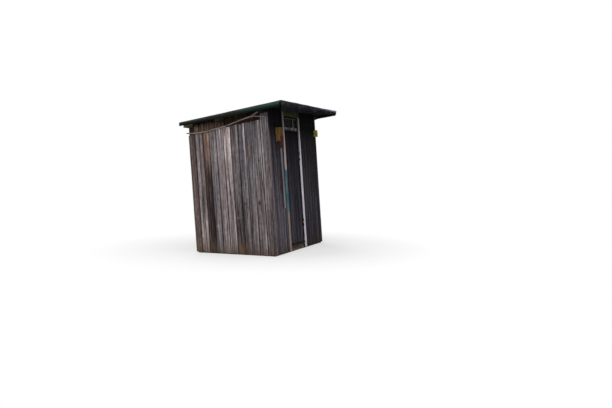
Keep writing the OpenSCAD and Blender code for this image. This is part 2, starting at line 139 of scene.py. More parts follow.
def side_top(y0):
    """Height of the side boards' tops, y0 behind the front wall's foot."""
    low_end, slant = 0.155, 0.02
    first = leaning_top(FRONT_Y + SIDE_Y0, low_end + slant * SIDE_Y0 / WALL_D)
    last = leaning_top(REAR_Y, low_end + slant)
    return first + (last - first) * (y0 - SIDE_Y0) / (WALL_D - SIDE_Y0)


def sag(x, y):
    """How far the rotten front edge of the roof hangs down at x, y."""
    t = np.clip((-0.58 - y) / 0.295, 0.0, 1.0)
    dip = np.exp(-((x - 0.35) / 0.6) ** 2) * 0.004
    return dip * t * t * (3 - 2 * t)


def up(height):
    """Distance up the lean of a point at a height."""
    return height / math.cos(LEAN)


def up_from(height, inward):
    """Distance up the lean of a point at a height, inwards from the wall's face."""
    return (height + inward * math.sin(LEAN)) / math.cos(LEAN)


# Selection and finishing

def deselect():
    """Leaves nothing selected and nothing in edit mode."""
    if bpy.context.object and bpy.context.object.mode != "OBJECT":
        bpy.ops.object.mode_set(mode="OBJECT")
    bpy.ops.object.select_all(action="DESELECT")


def take(piece):
    """Makes a piece the only one selected."""
    deselect()
    piece.select_set(True)
    bpy.context.view_layer.objects.active = piece


def edit_all(piece):
    """Takes a piece into edit mode with everything selected."""
    take(piece)
    bpy.ops.object.mode_set(mode="EDIT")
    bpy.ops.mesh.select_all(action="SELECT")


def own_copy(source, name):
    """A copy of an object, with a mesh of its own."""
    piece = source.copy()
    piece.data = source.data.copy()
    for key in list(piece.keys()):
        del piece[key]
    bpy.context.collection.objects.link(piece)
    piece.parent = None
    piece.name = name
    return piece


def node_copy(node, name, flatten=False):
    """A CAD node's own shape with its points merged and, where asked, its flat faces made whole."""
    piece = own_copy(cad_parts[node], name)
    edit_all(piece)
    bpy.ops.mesh.remove_doubles(threshold=0.00005)
    if flatten:
        bpy.ops.mesh.dissolve_limited(angle_limit=math.radians(1.0))
    bpy.ops.object.mode_set(mode="OBJECT")
    return piece


def apply_modifier(piece, kind, **settings):
    """Adds a modifier, sets it and applies it."""
    take(piece)
    modifier = piece.modifiers.new(kind.title(), kind)
    for key, value in settings.items():
        setattr(modifier, key, value)
    bpy.ops.object.modifier_apply(modifier=modifier.name)


def outward(piece):
    """Turns every face of a closed piece outwards."""
    edit_all(piece)
    bpy.ops.mesh.normals_make_consistent(inside=False)
    bpy.ops.object.mode_set(mode="OBJECT")


def smooth(piece, angle):
    """Smooths a piece where its faces meet at less than an angle in degrees."""
    take(piece)
    bpy.ops.object.shade_smooth_by_angle(angle=math.radians(angle))


def soften(piece, width, segments=2):
    """Takes the sharpness off the edges."""
    angle = 38.0
    apply_modifier(piece, "BEVEL", width=width, segments=segments, limit_method="ANGLE",
                   angle_limit=math.radians(angle), use_clamp_overlap=True)
    smooth(piece, angle)


def join(parts, name):
    """Joins parts into one named piece."""
    deselect()
    for part in parts:
        part.select_set(True)
    bpy.context.view_layer.objects.active = parts[0]
    if len(parts) > 1:
        bpy.ops.object.join()
    piece = bpy.context.object
    piece.name = name
    piece.data.name = name
    return piece


def coat(piece, material):
    """Gives a piece its one material."""
    piece.data.materials.clear()
    piece.data.materials.append(material)


def put(piece, body, slot, material, node=None):
    """Gives a piece its material and its body, and hides the CAD node that it stands for; the slot is not
    used.
    """
    coat(piece, material)
    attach(piece, body)
    if node:
        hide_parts(node)


def finish_timber(parts, name, body, slot, material, node, width):
    """Joins boards or beams into a piece with worn edges and puts it in its place."""
    piece = join(parts, name)
    outward(piece)
    soften(piece, width)
    put(piece, body, slot, material, node)


def finish_frame(node, parts, width=0.003, name=None):
    """Finishes timbers of the hut's frame."""
    finish_timber(parts, name or node + "_timber", "hut", "frame_timber", wood("inner"), node, width)


# Meshes and what is kept on their points

def corners(piece):
    """The points of a piece's mesh, one row each."""
    points = np.empty(len(piece.data.vertices) * 3)
    piece.data.vertices.foreach_get("co", points)
    return points.reshape(-1, 3)


def set_corners(piece, points):
    """Moves the points of a piece's mesh."""
    piece.data.vertices.foreach_set("co", np.ascontiguousarray(points, dtype=np.float32).ravel())
    piece.data.update()


def keep(piece, name, kind, key, values):
    """Keeps values on the points of a piece's mesh."""
    layer = piece.data.attributes.new(name, kind, "POINT")
    layer.data.foreach_set(key, np.ascontiguousarray(values, dtype=np.float32).ravel())


def new_grid(columns, rows):
    """A flat grid of faces, and the two places of each of its points, from -0.5 to 0.5."""
    deselect()
    bpy.ops.mesh.primitive_grid_add(x_subdivisions=columns, y_subdivisions=rows, size=1.0)
    grid = bpy.context.object
    return grid, *corners(grid)[:, :2].T


# Boards and beams

BLOCKS = {}


def plain_block(along, across):
    """A unit block cut across its length and its width, kept as a pattern for boards."""
    key = (along, across)
    if key in BLOCKS:
        return BLOCKS[key]
    deselect()
    bpy.ops.mesh.primitive_cube_add(size=1.0, location=(0.5, 0.5, 0.5))
    block = bpy.context.object
    bpy.ops.object.transform_apply(location=True, rotation=False, scale=False)
    bpy.ops.object.mode_set(mode="EDIT")
    bpy.ops.mesh.select_mode(type="EDGE")
    for axis, cuts in ((2, along), (0, across)):
        bpy.ops.mesh.select_all(action="DESELECT")
        mesh = bmesh.from_edit_mesh(block.data)
        for edge in mesh.edges:
            edge.select_set(abs(edge.verts[0].co[axis] - edge.verts[1].co[axis]) > 0.5)
        bmesh.update_edit_mesh(block.data)
        bpy.ops.mesh.subdivide(number_cuts=cuts)
    bpy.ops.object.mode_set(mode="OBJECT")
    BLOCKS[key] = block
    return block


def drop_patterns():
    """Removes the pattern blocks once everything is made from them."""
    for block in BLOCKS.values():
        bpy.data.objects.remove(block)
    BLOCKS.clear()


def uneven(t, rng):
    """A smooth uneven line between about 0 and 1 along t, which runs from 0 to 1."""
    total = np.zeros_like(t)
    for wave in (0.7, 1.9, 4.3):
        total += rng.uniform(0.3, 1.0) * np.sin(2 * math.pi * (wave * t + rng.uniform(0, 1))) / wave ** 0.5
    return np.clip(0.5 + total / 3.4, 0.0, 1.0)


def tone_of(spec, a, z):
    """The colour of each point of a board: high up, low down, and other shares of it along its edges."""
    high = np.array(spec["high"])
    low = np.array(spec.get("low", spec["high"]))
    turn, soft = spec.get("turn", 1.0), spec.get("soft", 0.35)
    t = np.clip((z - turn + soft) / (2 * soft), 0.0, 1.0)[:, None]
    tone = low * (1 - t) + high * t
    for share, wide, away in zip(spec.get("edges", ()), spec.get("reach", (0.3, 0.3)), (a, 1.0 - a)):
        near = np.clip(1.0 - away / wide, 0.0, 1.0)[:, None]
        tone = tone * np.maximum(1 + (np.array(share) - 1) * near, 0.04)
    for at, share in spec.get("lines", ()):
        tone = np.where(np.abs(a - at)[:, None] < 0.03, tone * share, tone)
    return tone


def palette(colours, rng, spread=0.16):
    """A board colour picked from a few, a little lighter or darker."""
    base = np.array(colours[rng.randint(len(colours))])
    return {"high": base * rng.uniform(1 - spread, 1 + spread), "turn": 0.5,
            "low": base * rng.uniform(1 - spread, 1 + spread)}


def shaded(tone, high, low, turn, **more):
    """A board colour made lighter or darker, high up and low down, and turning at another height."""
    return {"high": tone["high"] * high, "low": tone["low"] * low, "turn": turn, **more}


def end_line(values, x):
    """A foot or a top as it runs across a board: one height, or a height for each place."""
    return values(x) if callable(values) else np.full_like(x, values)


def board(place, width, depth, foot, top, tone, rng, cut, laps=None, lit_edge=False):
    """One board or beam. It is shaped in its own frame (across, inwards, along) and then put in place. With
    laps, its back meets its neighbours, and laps at its start, its end or both. A lit edge gets no painted
    edge shade along the start."""
    piece = own_copy(plain_block(cut.along, cut.across), "board")
    a, b, c = corners(piece).T
    step = np.round(a * (cut.across + 1)).astype(int)
    spread = np.linspace(0, 1, cut.across + 2)
    if cut.across > 2:
        spread[1:-1] = np.linspace(0.07, 0.93, cut.across)
    a = spread[step]
    gap, wave = min(cut.gap, width * 0.1), min(cut.wave, width * 0.06)
    left = gap * rng.choice((0.3, 0.9, 1.5)) + wave * uneven(c, rng)
    right = width - gap * rng.choice((0.3, 0.9, 1.5)) - wave * uneven(c, rng)
    x = left + (right - left) * a
    if laps:
        lap0, lap1 = (BACK_LAP * lapped for lapped in laps)
        x = x * (1 - b) + ((width + lap0 + lap1) * a - lap0) * b
    face = rng.uniform(0.0, cut.cup) + cut.cup * uneven(c, rng) * rng.uniform(0.3, 1.0)
    face = face + cut.cup * rng.uniform(-0.6, 1.0) * (1 - (2 * a - 1) ** 2) * 0.5
    y = np.clip(face, 0.0, depth * 0.3) * (1 - b) + depth * b
    off_foot = rng.uniform(0, 1, cut.across + 2) * cut.foot
    if cut.split and rng.uniform() < cut.split:
        off_foot[rng.randint(1, cut.across + 1)] += rng.uniform(0.015, 0.05)
    off_top = rng.uniform(0, 1, cut.across + 2) * cut.top
    z0, z1 = end_line(foot, x) + off_foot[step], end_line(top, x) - off_top[step]
    z = z0 + (z1 - z0) * c
    grain = np.stack([x + rng.uniform(0, 40), y, z + rng.uniform(0, 40)], axis=1)
    keep(piece, "grain", "FLOAT_VECTOR", "vector", grain)
    tones = tone_of(tone, a, z)
    keep(piece, "tone", "FLOAT_COLOR", "color", np.concatenate([tones, np.ones((len(tones), 1))], axis=1))
    keep(piece, "edge", "FLOAT", "value", right - x if lit_edge else np.minimum(x - left, right - x))
    set_corners(piece, np.stack(place(x, y, z), axis=1))
    return piece


def spread_edges(start, end, rng, low=0.095, high=0.14):
    """Board edges from start to end, with boards of uneven widths."""
    count = max(1, round((end - start) / ((low + high) / 2)))
    widths = rng.uniform(low, high, count)
    return start + np.concatenate([[0], np.cumsum(widths / widths.sum() * (end - start))])


def row(edges):
    """The start and the width of each board in a row, and whether it laps at its start and its end."""
    last = len(edges) - 2
    for i in range(last + 1):
        yield edges[i], edges[i + 1] - edges[i], (i > 0, i < last)


def wall_cut(look, cup, top=0.0, split=0.4, gap=1.0, wave=1.0):
    """How a long wall board is cut."""
    return Cut(22, 5, look.gap * gap, look.wave * wave, cup, look.ragged, top, split)


# Where boards stand or lie: (across, inwards, along) to the building's frame

def at_side(side, outer, y0):
    """Upright on the left (-1) or the right side (1), outer from the middle. Across runs to the rear."""
    return lambda x, y, z: (side * (outer - y), FRONT_Y + y0 + x + z * SLOPE, z)


def upright(x0, y0):
    """Upright along the front, from x0 on and from y0 inwards."""
    return lambda x, y, z: (x0 + x, y0 + y + z * SLOPE, z)


def at_rear(x0):
    """Upright along the rear wall, with the outer face outwards."""
    return lambda x, y, z: (x0 + x, REAR_Y - y + z * SLOPE, z)


def lying(y0, z0):
    """Lying along x in the leaning frame, from y0 inwards and z0 up."""
    return lambda x, y, z: (z, y0 + y + (z0 + x) * SLOPE, z0 + x)


def lying_deep(x0, z0):
    """Lying from front to rear in the leaning frame, from x0 on and z0 up."""
    return lambda x, y, z: (x0 + y, z + (z0 + x) * SLOPE, z0 + x)


def on_door(x0, depth):
    """On the door and its frame, square to the leaning front. Along runs up the lean."""
    def where(x, y, z):
        inward = depth + y
        return (x0 + x, FRONT_Y + inward * math.cos(LEAN) + z * math.sin(LEAN),
                z * math.cos(LEAN) - inward * math.sin(LEAN))
    return where


def across_door(base, depth):
    """Lying across the door and its frame, from a distance up the lean."""
    where = on_door(0.0, depth)
    return lambda x, y, z: where(z, y, base + x)


# Materials

class Nodes:
    """A material or a world whose nodes are added one after another."""

    def __init__(self, owner):
        owner.use_nodes = True
        self.owner = owner
        self.tree = owner.node_tree
        self.tree.nodes.clear()

    def add(self, kind, values=None, **settings):
        """Adds a node, sets it, and links or sets its inputs."""
        node = self.tree.nodes.new(kind)
        for key, value in settings.items():
            setattr(node, key, value)
        for key, value in (values or {}).items():
            self.feed(node, key, value)
        return node

    def feed(self, node, key, value):
        """Links a socket into an input, or sets the input's value."""
        socket = node.inputs[key]
        if isinstance(value, bpy.types.NodeSocket):
            self.tree.links.new(value, socket)
        else:
            socket.default_value = value

    def attribute(self, name, out="Vector"):
        """What is kept on the points under a name."""
        return self.add("ShaderNodeAttribute", attribute_name=name).outputs[out]

    def place(self):
        """The surface's place in the building's frame."""
        return self.add("ShaderNodeTexCoord").outputs["Object"]

    def axis(self, name):
        """One coordinate of the surface's place."""
        return self.add("ShaderNodeSeparateXYZ", {0: self.place()}).outputs[name]

    def stretch(self, vector, scale):
        """A place scaled along each axis."""
        return self.add("ShaderNodeMapping", {"Vector": vector, "Scale": scale}).outputs[0]

    def noise(self, vector, scale=1.0, detail=2.0, rough=0.55, twist=0.0):
        """Cloudy noise between nought and one."""
        return self.add("ShaderNodeTexNoise", {"Vector": vector, "Scale": scale, "Detail": detail,
                                               "Roughness": rough, "Distortion": twist}).outputs["Fac"]

    def streaks(self, vector, scale, detail=2.0, rough=0.55, twist=0.0):
        """Noise with a scale of its own along each axis."""
        return self.noise(self.stretch(vector, scale), 1.0, detail, rough, twist)

    def span(self, value, low, high, to_low=0.0, to_high=1.0):
        """A value's range laid on another, and held at its ends."""
        return self.add("ShaderNodeMapRange", {"Value": value, "From Min": low, "From Max": high,
                                               "To Min": to_low, "To Max": to_high}, clamp=True).outputs[0]

    def maths(self, how, a, b=0.5):
        """Arithmetic on one number or two."""
        return self.add("ShaderNodeMath", {0: a, 1: b}, operation=how).outputs[0]

    def plus(self, a, b):
        """Two values added."""
        return self.maths("ADD", a, b)

    def times(self, a, b):
        """Two values multiplied."""
        return self.maths("MULTIPLY", a, b)

    def vector(self, how, a, b=None):
        """Vector arithmetic."""
        values = {0: a} if b is None else {0: a, 1: b}
        return self.add("ShaderNodeVectorMath", values, operation=how)

    def blend(self, factor, a, b, how="MIX"):
        """Two colours mixed."""
        node = self.add("ShaderNodeMix", {0: factor}, data_type="RGBA", blend_type=how, clamp_factor=True)
        for key, value in ((6, a), (7, b)):
            self.feed(node, key, value if isinstance(value, bpy.types.NodeSocket) else (*value, 1.0))
        return node.outputs[2]

    def shade(self, colour, value, low, high, dark, light):
        """A colour multiplied from dark to light as a value goes from low to high."""
        return self.blend(1.0, colour, self.span(value, low, high, dark, light), "MULTIPLY")

    def spot(self, middle, reach, ragged=0.9):
        """One inside a ragged spot and nought outside it. A reach of nought leaves that axis out."""
        apart = self.vector("SUBTRACT", self.place(), middle).outputs[0]
        ring = self.vector("MULTIPLY", apart, tuple(1 / v if v else 0.0 for v in reach)).outputs[0]
        far = self.vector("LENGTH", ring).outputs["Value"]
        rough = self.plus(far, self.times(self.noise(self.place(), 90.0, 3.0), ragged))
        return self.span(rough, 0.8, 0.8 + 0.75 * ragged, 1.0, 0.0)

    def stain(self, colour, share, middle, reach, other, ragged=0.9):
        """A colour with a ragged spot of another on it."""
        return self.blend(self.times(self.spot(middle, reach, ragged), share), colour, other)

    def end(self, colour, rough, bump, depth, strength=0.6, **sockets):
        """Adds the surface, its bump and the output."""
        bumps = {"Height": bump, "Distance": depth, "Strength": strength}
        normal = self.add("ShaderNodeBump", bumps).outputs[0]
        values = {"Base Color": colour, "Roughness": rough, "Normal": normal}
        values.update((key.replace("_", " "), value) for key, value in sockets.items())
        surface = self.add("ShaderNodeBsdfPrincipled", values).outputs[0]
        self.add("ShaderNodeOutputMaterial", {"Surface": surface})
        return self.owner


def new_finish(name):
    """A new material, without nodes so far."""
    return Nodes(bpy.data.materials.new(name))


def tint(colour, share):
    """A plain colour made lighter or darker."""
    return tuple(v * share for v in colour)


def fibre_layers(f, vector, knots):
    """Wood figure along the third axis: fibres, bands, stains, cracks and knots."""
    wander = f.streaks(vector, (3.0, 3.0, 1.3))
    cell = f.add("ShaderNodeTexVoronoi", {"Vector": f.stretch(vector, (8.0, 0.0, 2.4)), "Scale": 1.0,
                                          "Randomness": 0.9}, feature="F1")
    lot = f.add("ShaderNodeSeparateColor", {0: cell.outputs["Color"]}).outputs[0]
    has = f.span(lot, knots, knots + 0.02)
    knot = f.times(f.span(cell.outputs["Distance"], 0.06, 0.14, 1.0, 0.0), has)
    halo = f.times(f.span(cell.outputs["Distance"], 0.08, 0.34, 1.0, 0.0), has)
    shift = f.plus(f.times(wander, 0.05), f.times(halo, 0.018))
    moved = f.vector("ADD", vector, f.add("ShaderNodeCombineXYZ", {0: shift}).outputs[0]).outputs[0]
    return {
        "fibre": f.streaks(moved, (210.0, 210.0, 8.0), 4.0, 0.65),
        "band": f.streaks(moved, (52.0, 52.0, 2.2), 3.0, 0.6),
        "mottle": f.streaks(vector, (30.0, 30.0, 13.0), 4.0, 0.65),
        "streak": f.streaks(moved, (30.0, 30.0, 0.7)),
        "stain": f.streaks(vector, (9.0, 9.0, 1.6), 4.0, 0.6, 0.6),
        "crack": f.span(f.streaks(moved, (80.0, 80.0, 1.3), 1.0, 0.4), 0.64, 0.68),
        "knot": knot,
        "halo": halo,
    }


def weathered_wood(name, contrast=1.0, specular=0.045, warm=(0.17, 0.085, 0.045), warmth=0.5,
                   silver=(0.26, 0.25, 0.27), silvering=0.35, cracks=0.85, foot=0.0, dirt=(0.075, 0.05, 0.03),
                   dark_spots=(), rusty_spots=(), painted=None, eave=0.0):
    """Bare old timber that takes its own colour from the tone kept on its points."""
    f = new_finish(name)
    w = fibre_layers(f, f.attribute("grain"), 0.72)
    crevice = (0.012, 0.010, 0.010)
    colour = f.blend(f.span(w["stain"], 0.56, 0.74, 0.0, warmth), f.attribute("tone", "Color"), warm)
    pale = f.times(f.span(w["band"], 0.52, 0.72), f.span(w["fibre"], 0.42, 0.66, 0.0, silvering))
    colour = f.blend(pale, colour, silver)
    for layer, low, high, darker, lighter in (
            ("band", 0.3, 0.7, 0.42 * contrast, 0.25 * contrast),
            ("fibre", 0.3, 0.7, 0.42 * contrast, 0.34 * contrast),
            ("streak", 0.36, 0.64, 0.55, 0.33), ("mottle", 0.32, 0.68, 0.3, 0.3)):
        colour = f.shade(colour, w[layer], low, high, 1 - darker, 1 + lighter)
    dark = f.times(f.span(w["streak"], 0.42, 0.36, 0.0, 0.6), f.span(w["band"], 0.5, 0.4))
    colour = f.blend(dark, colour, (0.022, 0.018, 0.019))
    for y, z, wide, high in rusty_spots:
        colour = f.stain(colour, 0.65, (0, y, z), (0, wide, high), (0.21, 0.1, 0.046))
    for y, z, wide, high in dark_spots:
        colour = f.stain(colour, 0.55, (0, y, z), (0, wide * 2.2, high * 2.0), (0.07, 0.042, 0.04))
        colour = f.stain(colour, 0.85, (0, y, z), (0, wide, high), (0.022, 0.014, 0.013))
    if painted:
        colour = f.stain(colour, 0.7, *painted, 0.5)
    colour = f.blend(f.times(w["halo"], 0.5), colour, tint(warm, 0.35))
    colour = f.blend(f.times(w["knot"], 0.85), colour, (0.025, 0.015, 0.011))
    colour = f.blend(f.times(w["crack"], cracks), colour, crevice)
    # Darker along the boards' edges: dirt in the joints, and painted shade in the gaps
    colour = f.blend(f.span(f.attribute("edge", "Fac"), 0.0, 0.006, 0.8, 0.0), colour, crevice)
    if foot:
        line = f.plus(f.axis("Z"), f.times(w["stain"], -0.32))
        colour = f.blend(f.span(line, -0.13, 0.07, foot, 0.0), colour, dirt)
    # Painted shade under the eave: the colour turns near black towards the top
    if eave:
        colour = f.blend(f.span(f.axis("Z"), 1.8, 2.02, 0.0, eave), colour, (0.002, 0.002, 0.002))
    relief = f.plus(f.times(w["fibre"], 0.45), f.times(w["band"], 0.55))
    relief = f.maths("SUBTRACT", relief, w["crack"])
    return f.end(colour, f.span(w["fibre"], 0.3, 0.7, 0.96, 0.84), relief, 0.0022, 0.75,
                 Specular_IOR_Level=specular)


def worn_paint(name, paint, bare, loss, second=None, second_z=(0.0, 0.0), bare_below=0.0,
               grime=(0.05, 0.045, 0.04), rough=0.6, outer=0.0, eave=0.0, specular=0.07, pale_spots=()):
    """Old paint on timber, worn off along the grain. Without a paint, it has the tone kept on the points.
    A second paint may lie between two heights, and the timber may be bare below a height."""
    f = new_finish(name)
    w = fibre_layers(f, f.attribute("grain"), 0.85)
    z = f.axis("Z")
    timber = f.blend(w["band"], tint(bare, 0.6), tint(bare, 1.35))
    timber = f.blend(f.times(w["crack"], 0.8), timber, (0.015, 0.012, 0.01))
    if paint is None:
        layer = f.shade(f.attribute("tone", "Color"), w["stain"], 0.3, 0.7, 0.7, 1.2)
    else:
        layer = f.blend(w["stain"], tint(paint, 0.86), tint(paint, 1.1))
    if second:
        low, high = second_z
        ragged = f.plus(z, f.times(w["band"], 0.14))
        inside = f.times(f.span(ragged, low, low + 0.03), f.span(ragged, high, high + 0.03, 1.0, 0.0))
        layer = f.blend(inside, layer, f.blend(w["stain"], tint(second, 0.75), tint(second, 1.25)))
    worn = f.plus(f.times(w["fibre"], 0.5), f.times(w["band"], 0.5))
    worn = f.plus(worn, f.span(f.attribute("edge", "Fac"), 0.0, 0.006, 0.08, 0.0))
    gone = f.span(worn, 0.66 - 0.3 * loss, 0.72 - 0.3 * loss)
    if bare_below:
        line = f.plus(z, f.times(w["band"], 0.16))
        gone = f.maths("MAXIMUM", gone, f.span(line, bare_below, bare_below + 0.05, 0.96, 0.0))
    if outer:
        away = f.maths("ABSOLUTE", f.axis("X"))
        gone = f.maths("MAXIMUM", gone, f.span(away, outer - 0.001, outer, 1.0, 0.0))
    colour = f.blend(gone, layer, timber)
    colour = f.blend(f.span(w["stain"], 0.6, 0.8, 0.0, 0.45), colour, grime)
    for middle, reach in pale_spots:
        colour = f.stain(colour, 0.9, middle, reach, (0.15, 0.137, 0.142), 1.1)
    # Painted shade under the eave: the paint darkens towards the top
    if eave:
        colour = f.blend(f.span(z, 1.72, 2.0, 0.0, eave), colour, (0.03, 0.025, 0.016))
    relief = f.maths("SUBTRACT", f.times(w["fibre"], 0.5), f.times(gone, 0.6))
    return f.end(colour, f.span(gone, 0.0, 1.0, rough, 0.9), relief, 0.0012, Specular_IOR_Level=specular)


def felt(name, dark, pale, dust, specular=0.03, shaded_below=0.0, lap=None):
    """Gritty, dusty and stained roofing felt. It may be painted darker below a height, as shade, or have a
    lap at y.
    """
    f = new_finish(name)
    where = f.place()
    grit = f.noise(where, 620.0, 3.0, 0.7)
    cloud = f.noise(where, 5.5, 5.0, 0.65, 0.4)
    blotch = f.noise(where, 19.0, 4.0, 0.6, 0.3)
    colour = f.blend(f.span(cloud, 0.35, 0.7, 0.0, dust + 0.3), dark, pale)
    colour = f.blend(f.span(blotch, 0.58, 0.72, 0.0, dust), colour, tint(pale, 1.25))
    colour = f.shade(colour, grit, 0.3, 0.7, 0.62, 1.4)
    if shaded_below:
        x, y, z = f.axis("X"), f.axis("Y"), f.axis("Z")
        colour = f.shade(colour, f.streaks(where, (9.0, 9.0, 60.0), 3.0, 0.6, 0.5), 0.35, 0.65, 0.55, 1.6)
        # Light catches the fold's upper edge at the right, and its flap at the left end is dark
        crest = f.times(f.span(z, shaded_below + 0.002, shaded_below + 0.02), f.span(x, 0.1, 0.8, 0.0, 5.0))
        crest = f.times(crest, f.span(y, EAVE_Y + 0.007, EAVE_Y + 0.013, 1.0, 0.0))
        line = f.plus(z, f.times(blotch, 0.04))
        # Painted shade on the fold below a height
        shade = f.plus(f.span(line, shaded_below - 0.035, shaded_below + 0.055, 0.22, 1.0), crest)
        flap_end = 0.004 - ROOF_W / 2
        shade = f.times(shade, f.span(x, flap_end - 0.0006, flap_end, 0.12, 1.0))
        colour = f.blend(1.0, colour, shade, "MULTIPLY")
    if lap is not None:
        wavy = f.plus(f.axis("Y"), f.times(cloud, 0.012))
        colour = f.shade(colour, wavy, lap + 0.004, lap + 0.009, 1.0, 0.8)
        below = f.span(wavy, lap + 0.011, lap + 0.018, 0.8, 0.0)
        seam = f.times(f.span(wavy, lap + 0.002, lap + 0.005), below)
        colour = f.blend(seam, colour, (0.006, 0.006, 0.006))
    relief = f.plus(f.times(grit, 0.35), f.times(blotch, 0.65))
    return f.end(colour, f.span(grit, 0.3, 0.7, 0.88, 0.98), relief, 0.002, Specular_IOR_Level=specular)


def rusty_iron(name):
    """Old black iron with rust."""
    f = new_finish(name)
    rust = f.noise(f.place(), 70.0, 5.0, 0.7)
    fine = f.noise(f.place(), 420.0, 3.0, 0.6)
    colour = f.blend(f.span(rust, 0.46, 0.66), (0.011, 0.010, 0.010), (0.055, 0.022, 0.011))
    colour = f.blend(f.span(fine, 0.58, 0.78, 0.0, 0.5), colour, (0.10, 0.042, 0.018))
    return f.end(colour, f.span(rust, 0.4, 0.65, 0.62, 0.92), fine, 0.0006, 0.7, Specular_IOR_Level=0.12)


def coated(name, paint, under, wear, panel=True, specular=0.06):
    """Brushed paint on a small box or plate, chipped and grimy, with painted shade in its sunk panels and on
    the box's front.
    """
    f = new_finish(name)
    cloud = f.noise(f.place(), 16.0, 4.0, 0.6)
    chip = f.noise(f.place(), 62.0, 5.0, 0.65, 0.4)
    brush = f.streaks(f.place(), (220.0, 220.0, 14.0), 3.0)
    colour = f.blend(cloud, tint(paint, 0.7), tint(paint, 1.2))
    colour = f.shade(colour, brush, 0.3, 0.7, 0.8, 1.15)
    # Painted shade in the sunk panels and on the box's front face
    if panel:
        colour = f.blend(f.times(f.attribute("panel", "Fac"), 0.7), colour, tint(paint, 0.25))
    gone = f.span(chip, 0.66 - 0.12 * wear, 0.7 - 0.12 * wear)
    colour = f.blend(gone, colour, under)
    colour = f.blend(f.span(cloud, 0.55, 0.75, 0.0, 0.5), colour, tint(under, 0.45))
    relief = f.maths("SUBTRACT", f.times(brush, 0.4), f.times(gone, 0.5))
    return f.end(colour, f.span(gone, 0.0, 1.0, 0.55, 0.9), relief, 0.0008, Specular_IOR_Level=specular)


def stick_bark(name, pale, dark):
    """A dry stick, part bark and part bare wood, with its grain along the wall."""
    f = new_finish(name)
    grain = f.streaks(f.place(), (130.0, 6.0, 130.0), 4.0, 0.65)
    patch = f.streaks(f.place(), (22.0, 5.0, 22.0), 3.0)
    colour = f.blend(f.span(grain, 0.3, 0.7), dark, pale)
    colour = f.blend(f.span(patch, 0.5, 0.66, 0.0, 0.75), colour, tint(dark, 0.55))
    relief = f.plus(f.times(grain, 0.6), f.times(patch, 0.4))
    return f.end(colour, 0.9, relief, 0.0025, 0.8, Specular_IOR_Level=0.1)


def dusty_glass(name):
    """Old window glass, uneven and dusty."""
    f = new_finish(name)
    dust = f.noise(f.place(), 14.0, 5.0, 0.65, 0.8)
    veil = f.streaks(f.place(), (7.0, 7.0, 1.2))
    # The near-black colour stands in for the dark room behind the glass: painted shade, with lighter dust
    colour = f.blend(f.span(dust, 0.4, 0.75), (0.004, 0.008, 0.005), (0.022, 0.024, 0.019))
    colour = f.blend(f.span(veil, 0.55, 0.7, 0.0, 0.5), colour, (0.05, 0.047, 0.042))
    return f.end(colour, f.span(dust, 0.4, 0.75, 0.14, 0.5), f.noise(f.place(), 9.0), 0.003, 0.25,
                 Transmission_Weight=0.4, IOR=1.03)


def on_left_wall(*rows):
    """Spots on the left wall, from places counted along the wall's foot."""
    return [(FRONT_Y + y + z * SLOPE, z, wide, high) for y, z, wide, high in rows]


# The finishes that several pieces share, each with its name and settings
WOODS = {
    "side": ("weathered_side_boards", {"foot": 0.6}),
    "left": ("weathered_left_boards", {
        "foot": 0.5,
        "dark_spots": on_left_wall((0.225, 0.822, 0.022, 0.034), (0.475, 0.801, 0.018, 0.028),
                                   (0.19, 1.467, 0.014, 0.02)),
        "rusty_spots": on_left_wall((0.612, 0.58, 0.03, 0.026), (1.322, 0.75, 0.018, 0.06),
                                    (1.335, 0.56, 0.02, 0.03), (0.585, 0.05, 0.05, 0.12))}),
    # The front boards' eave setting paints shade at their tops, under the eave
    "front": ("front_boards_painted_shade", {
        "contrast": 0.9, "specular": 0.02, "warm": (0.04, 0.026, 0.02), "warmth": 0.35,
        "silver": (0.085, 0.08, 0.095), "silvering": 0.3, "foot": 0.4,
        "dirt": (0.05, 0.036, 0.025), "eave": 0.8,
        "painted": ((-0.515, 0.0, 0.80), (0.045, 0.0, 0.12), (0.03, 0.10, 0.115))}),
    "gable": ("brown_gable_boards", {
        "contrast": 0.8, "specular": 0.015, "warm": (0.085, 0.04, 0.022), "silver": (0.10, 0.08, 0.07),
        "silvering": 0.3}),
    "inner": ("rough_frame_timber", {
        "contrast": 0.7, "warm": (0.16, 0.09, 0.045), "warmth": 0.4, "silver": (0.24, 0.19, 0.14),
        "silvering": 0.25, "cracks": 0.6}),
}


def wood(kind):
    """A shared timber finish, made when it is first asked for."""
    name, settings = WOODS[kind]
    return bpy.data.materials.get(name) or weathered_wood(name, **settings)


# Settings

class OuthouseBoards(bpy.types.PropertyGroup):
    """How rough the planking is."""
    gap: bpy.props.FloatProperty(
        name="Board Gap", description="Half of the gap between two boards",
        default=0.003, min=0.0, max=0.01, unit="LENGTH", subtype="DISTANCE")
    wave: bpy.props.FloatProperty(
        name="Edge Wave", description="How far a board's edges wander",
        default=0.0042, min=0.0, max=0.01, unit="LENGTH", subtype="DISTANCE")
    ragged: bpy.props.FloatProperty(
        name="Ragged Feet", description="How uneven the boards' feet are",
        default=0.022, min=0.0, max=0.06, unit="LENGTH", subtype="DISTANCE")
    bevel: bpy.props.FloatProperty(
        name="Edge Wear", description="Width of the worn edges",
        default=0.0016, min=0.0, max=0.005, unit="LENGTH", subtype="DISTANCE")


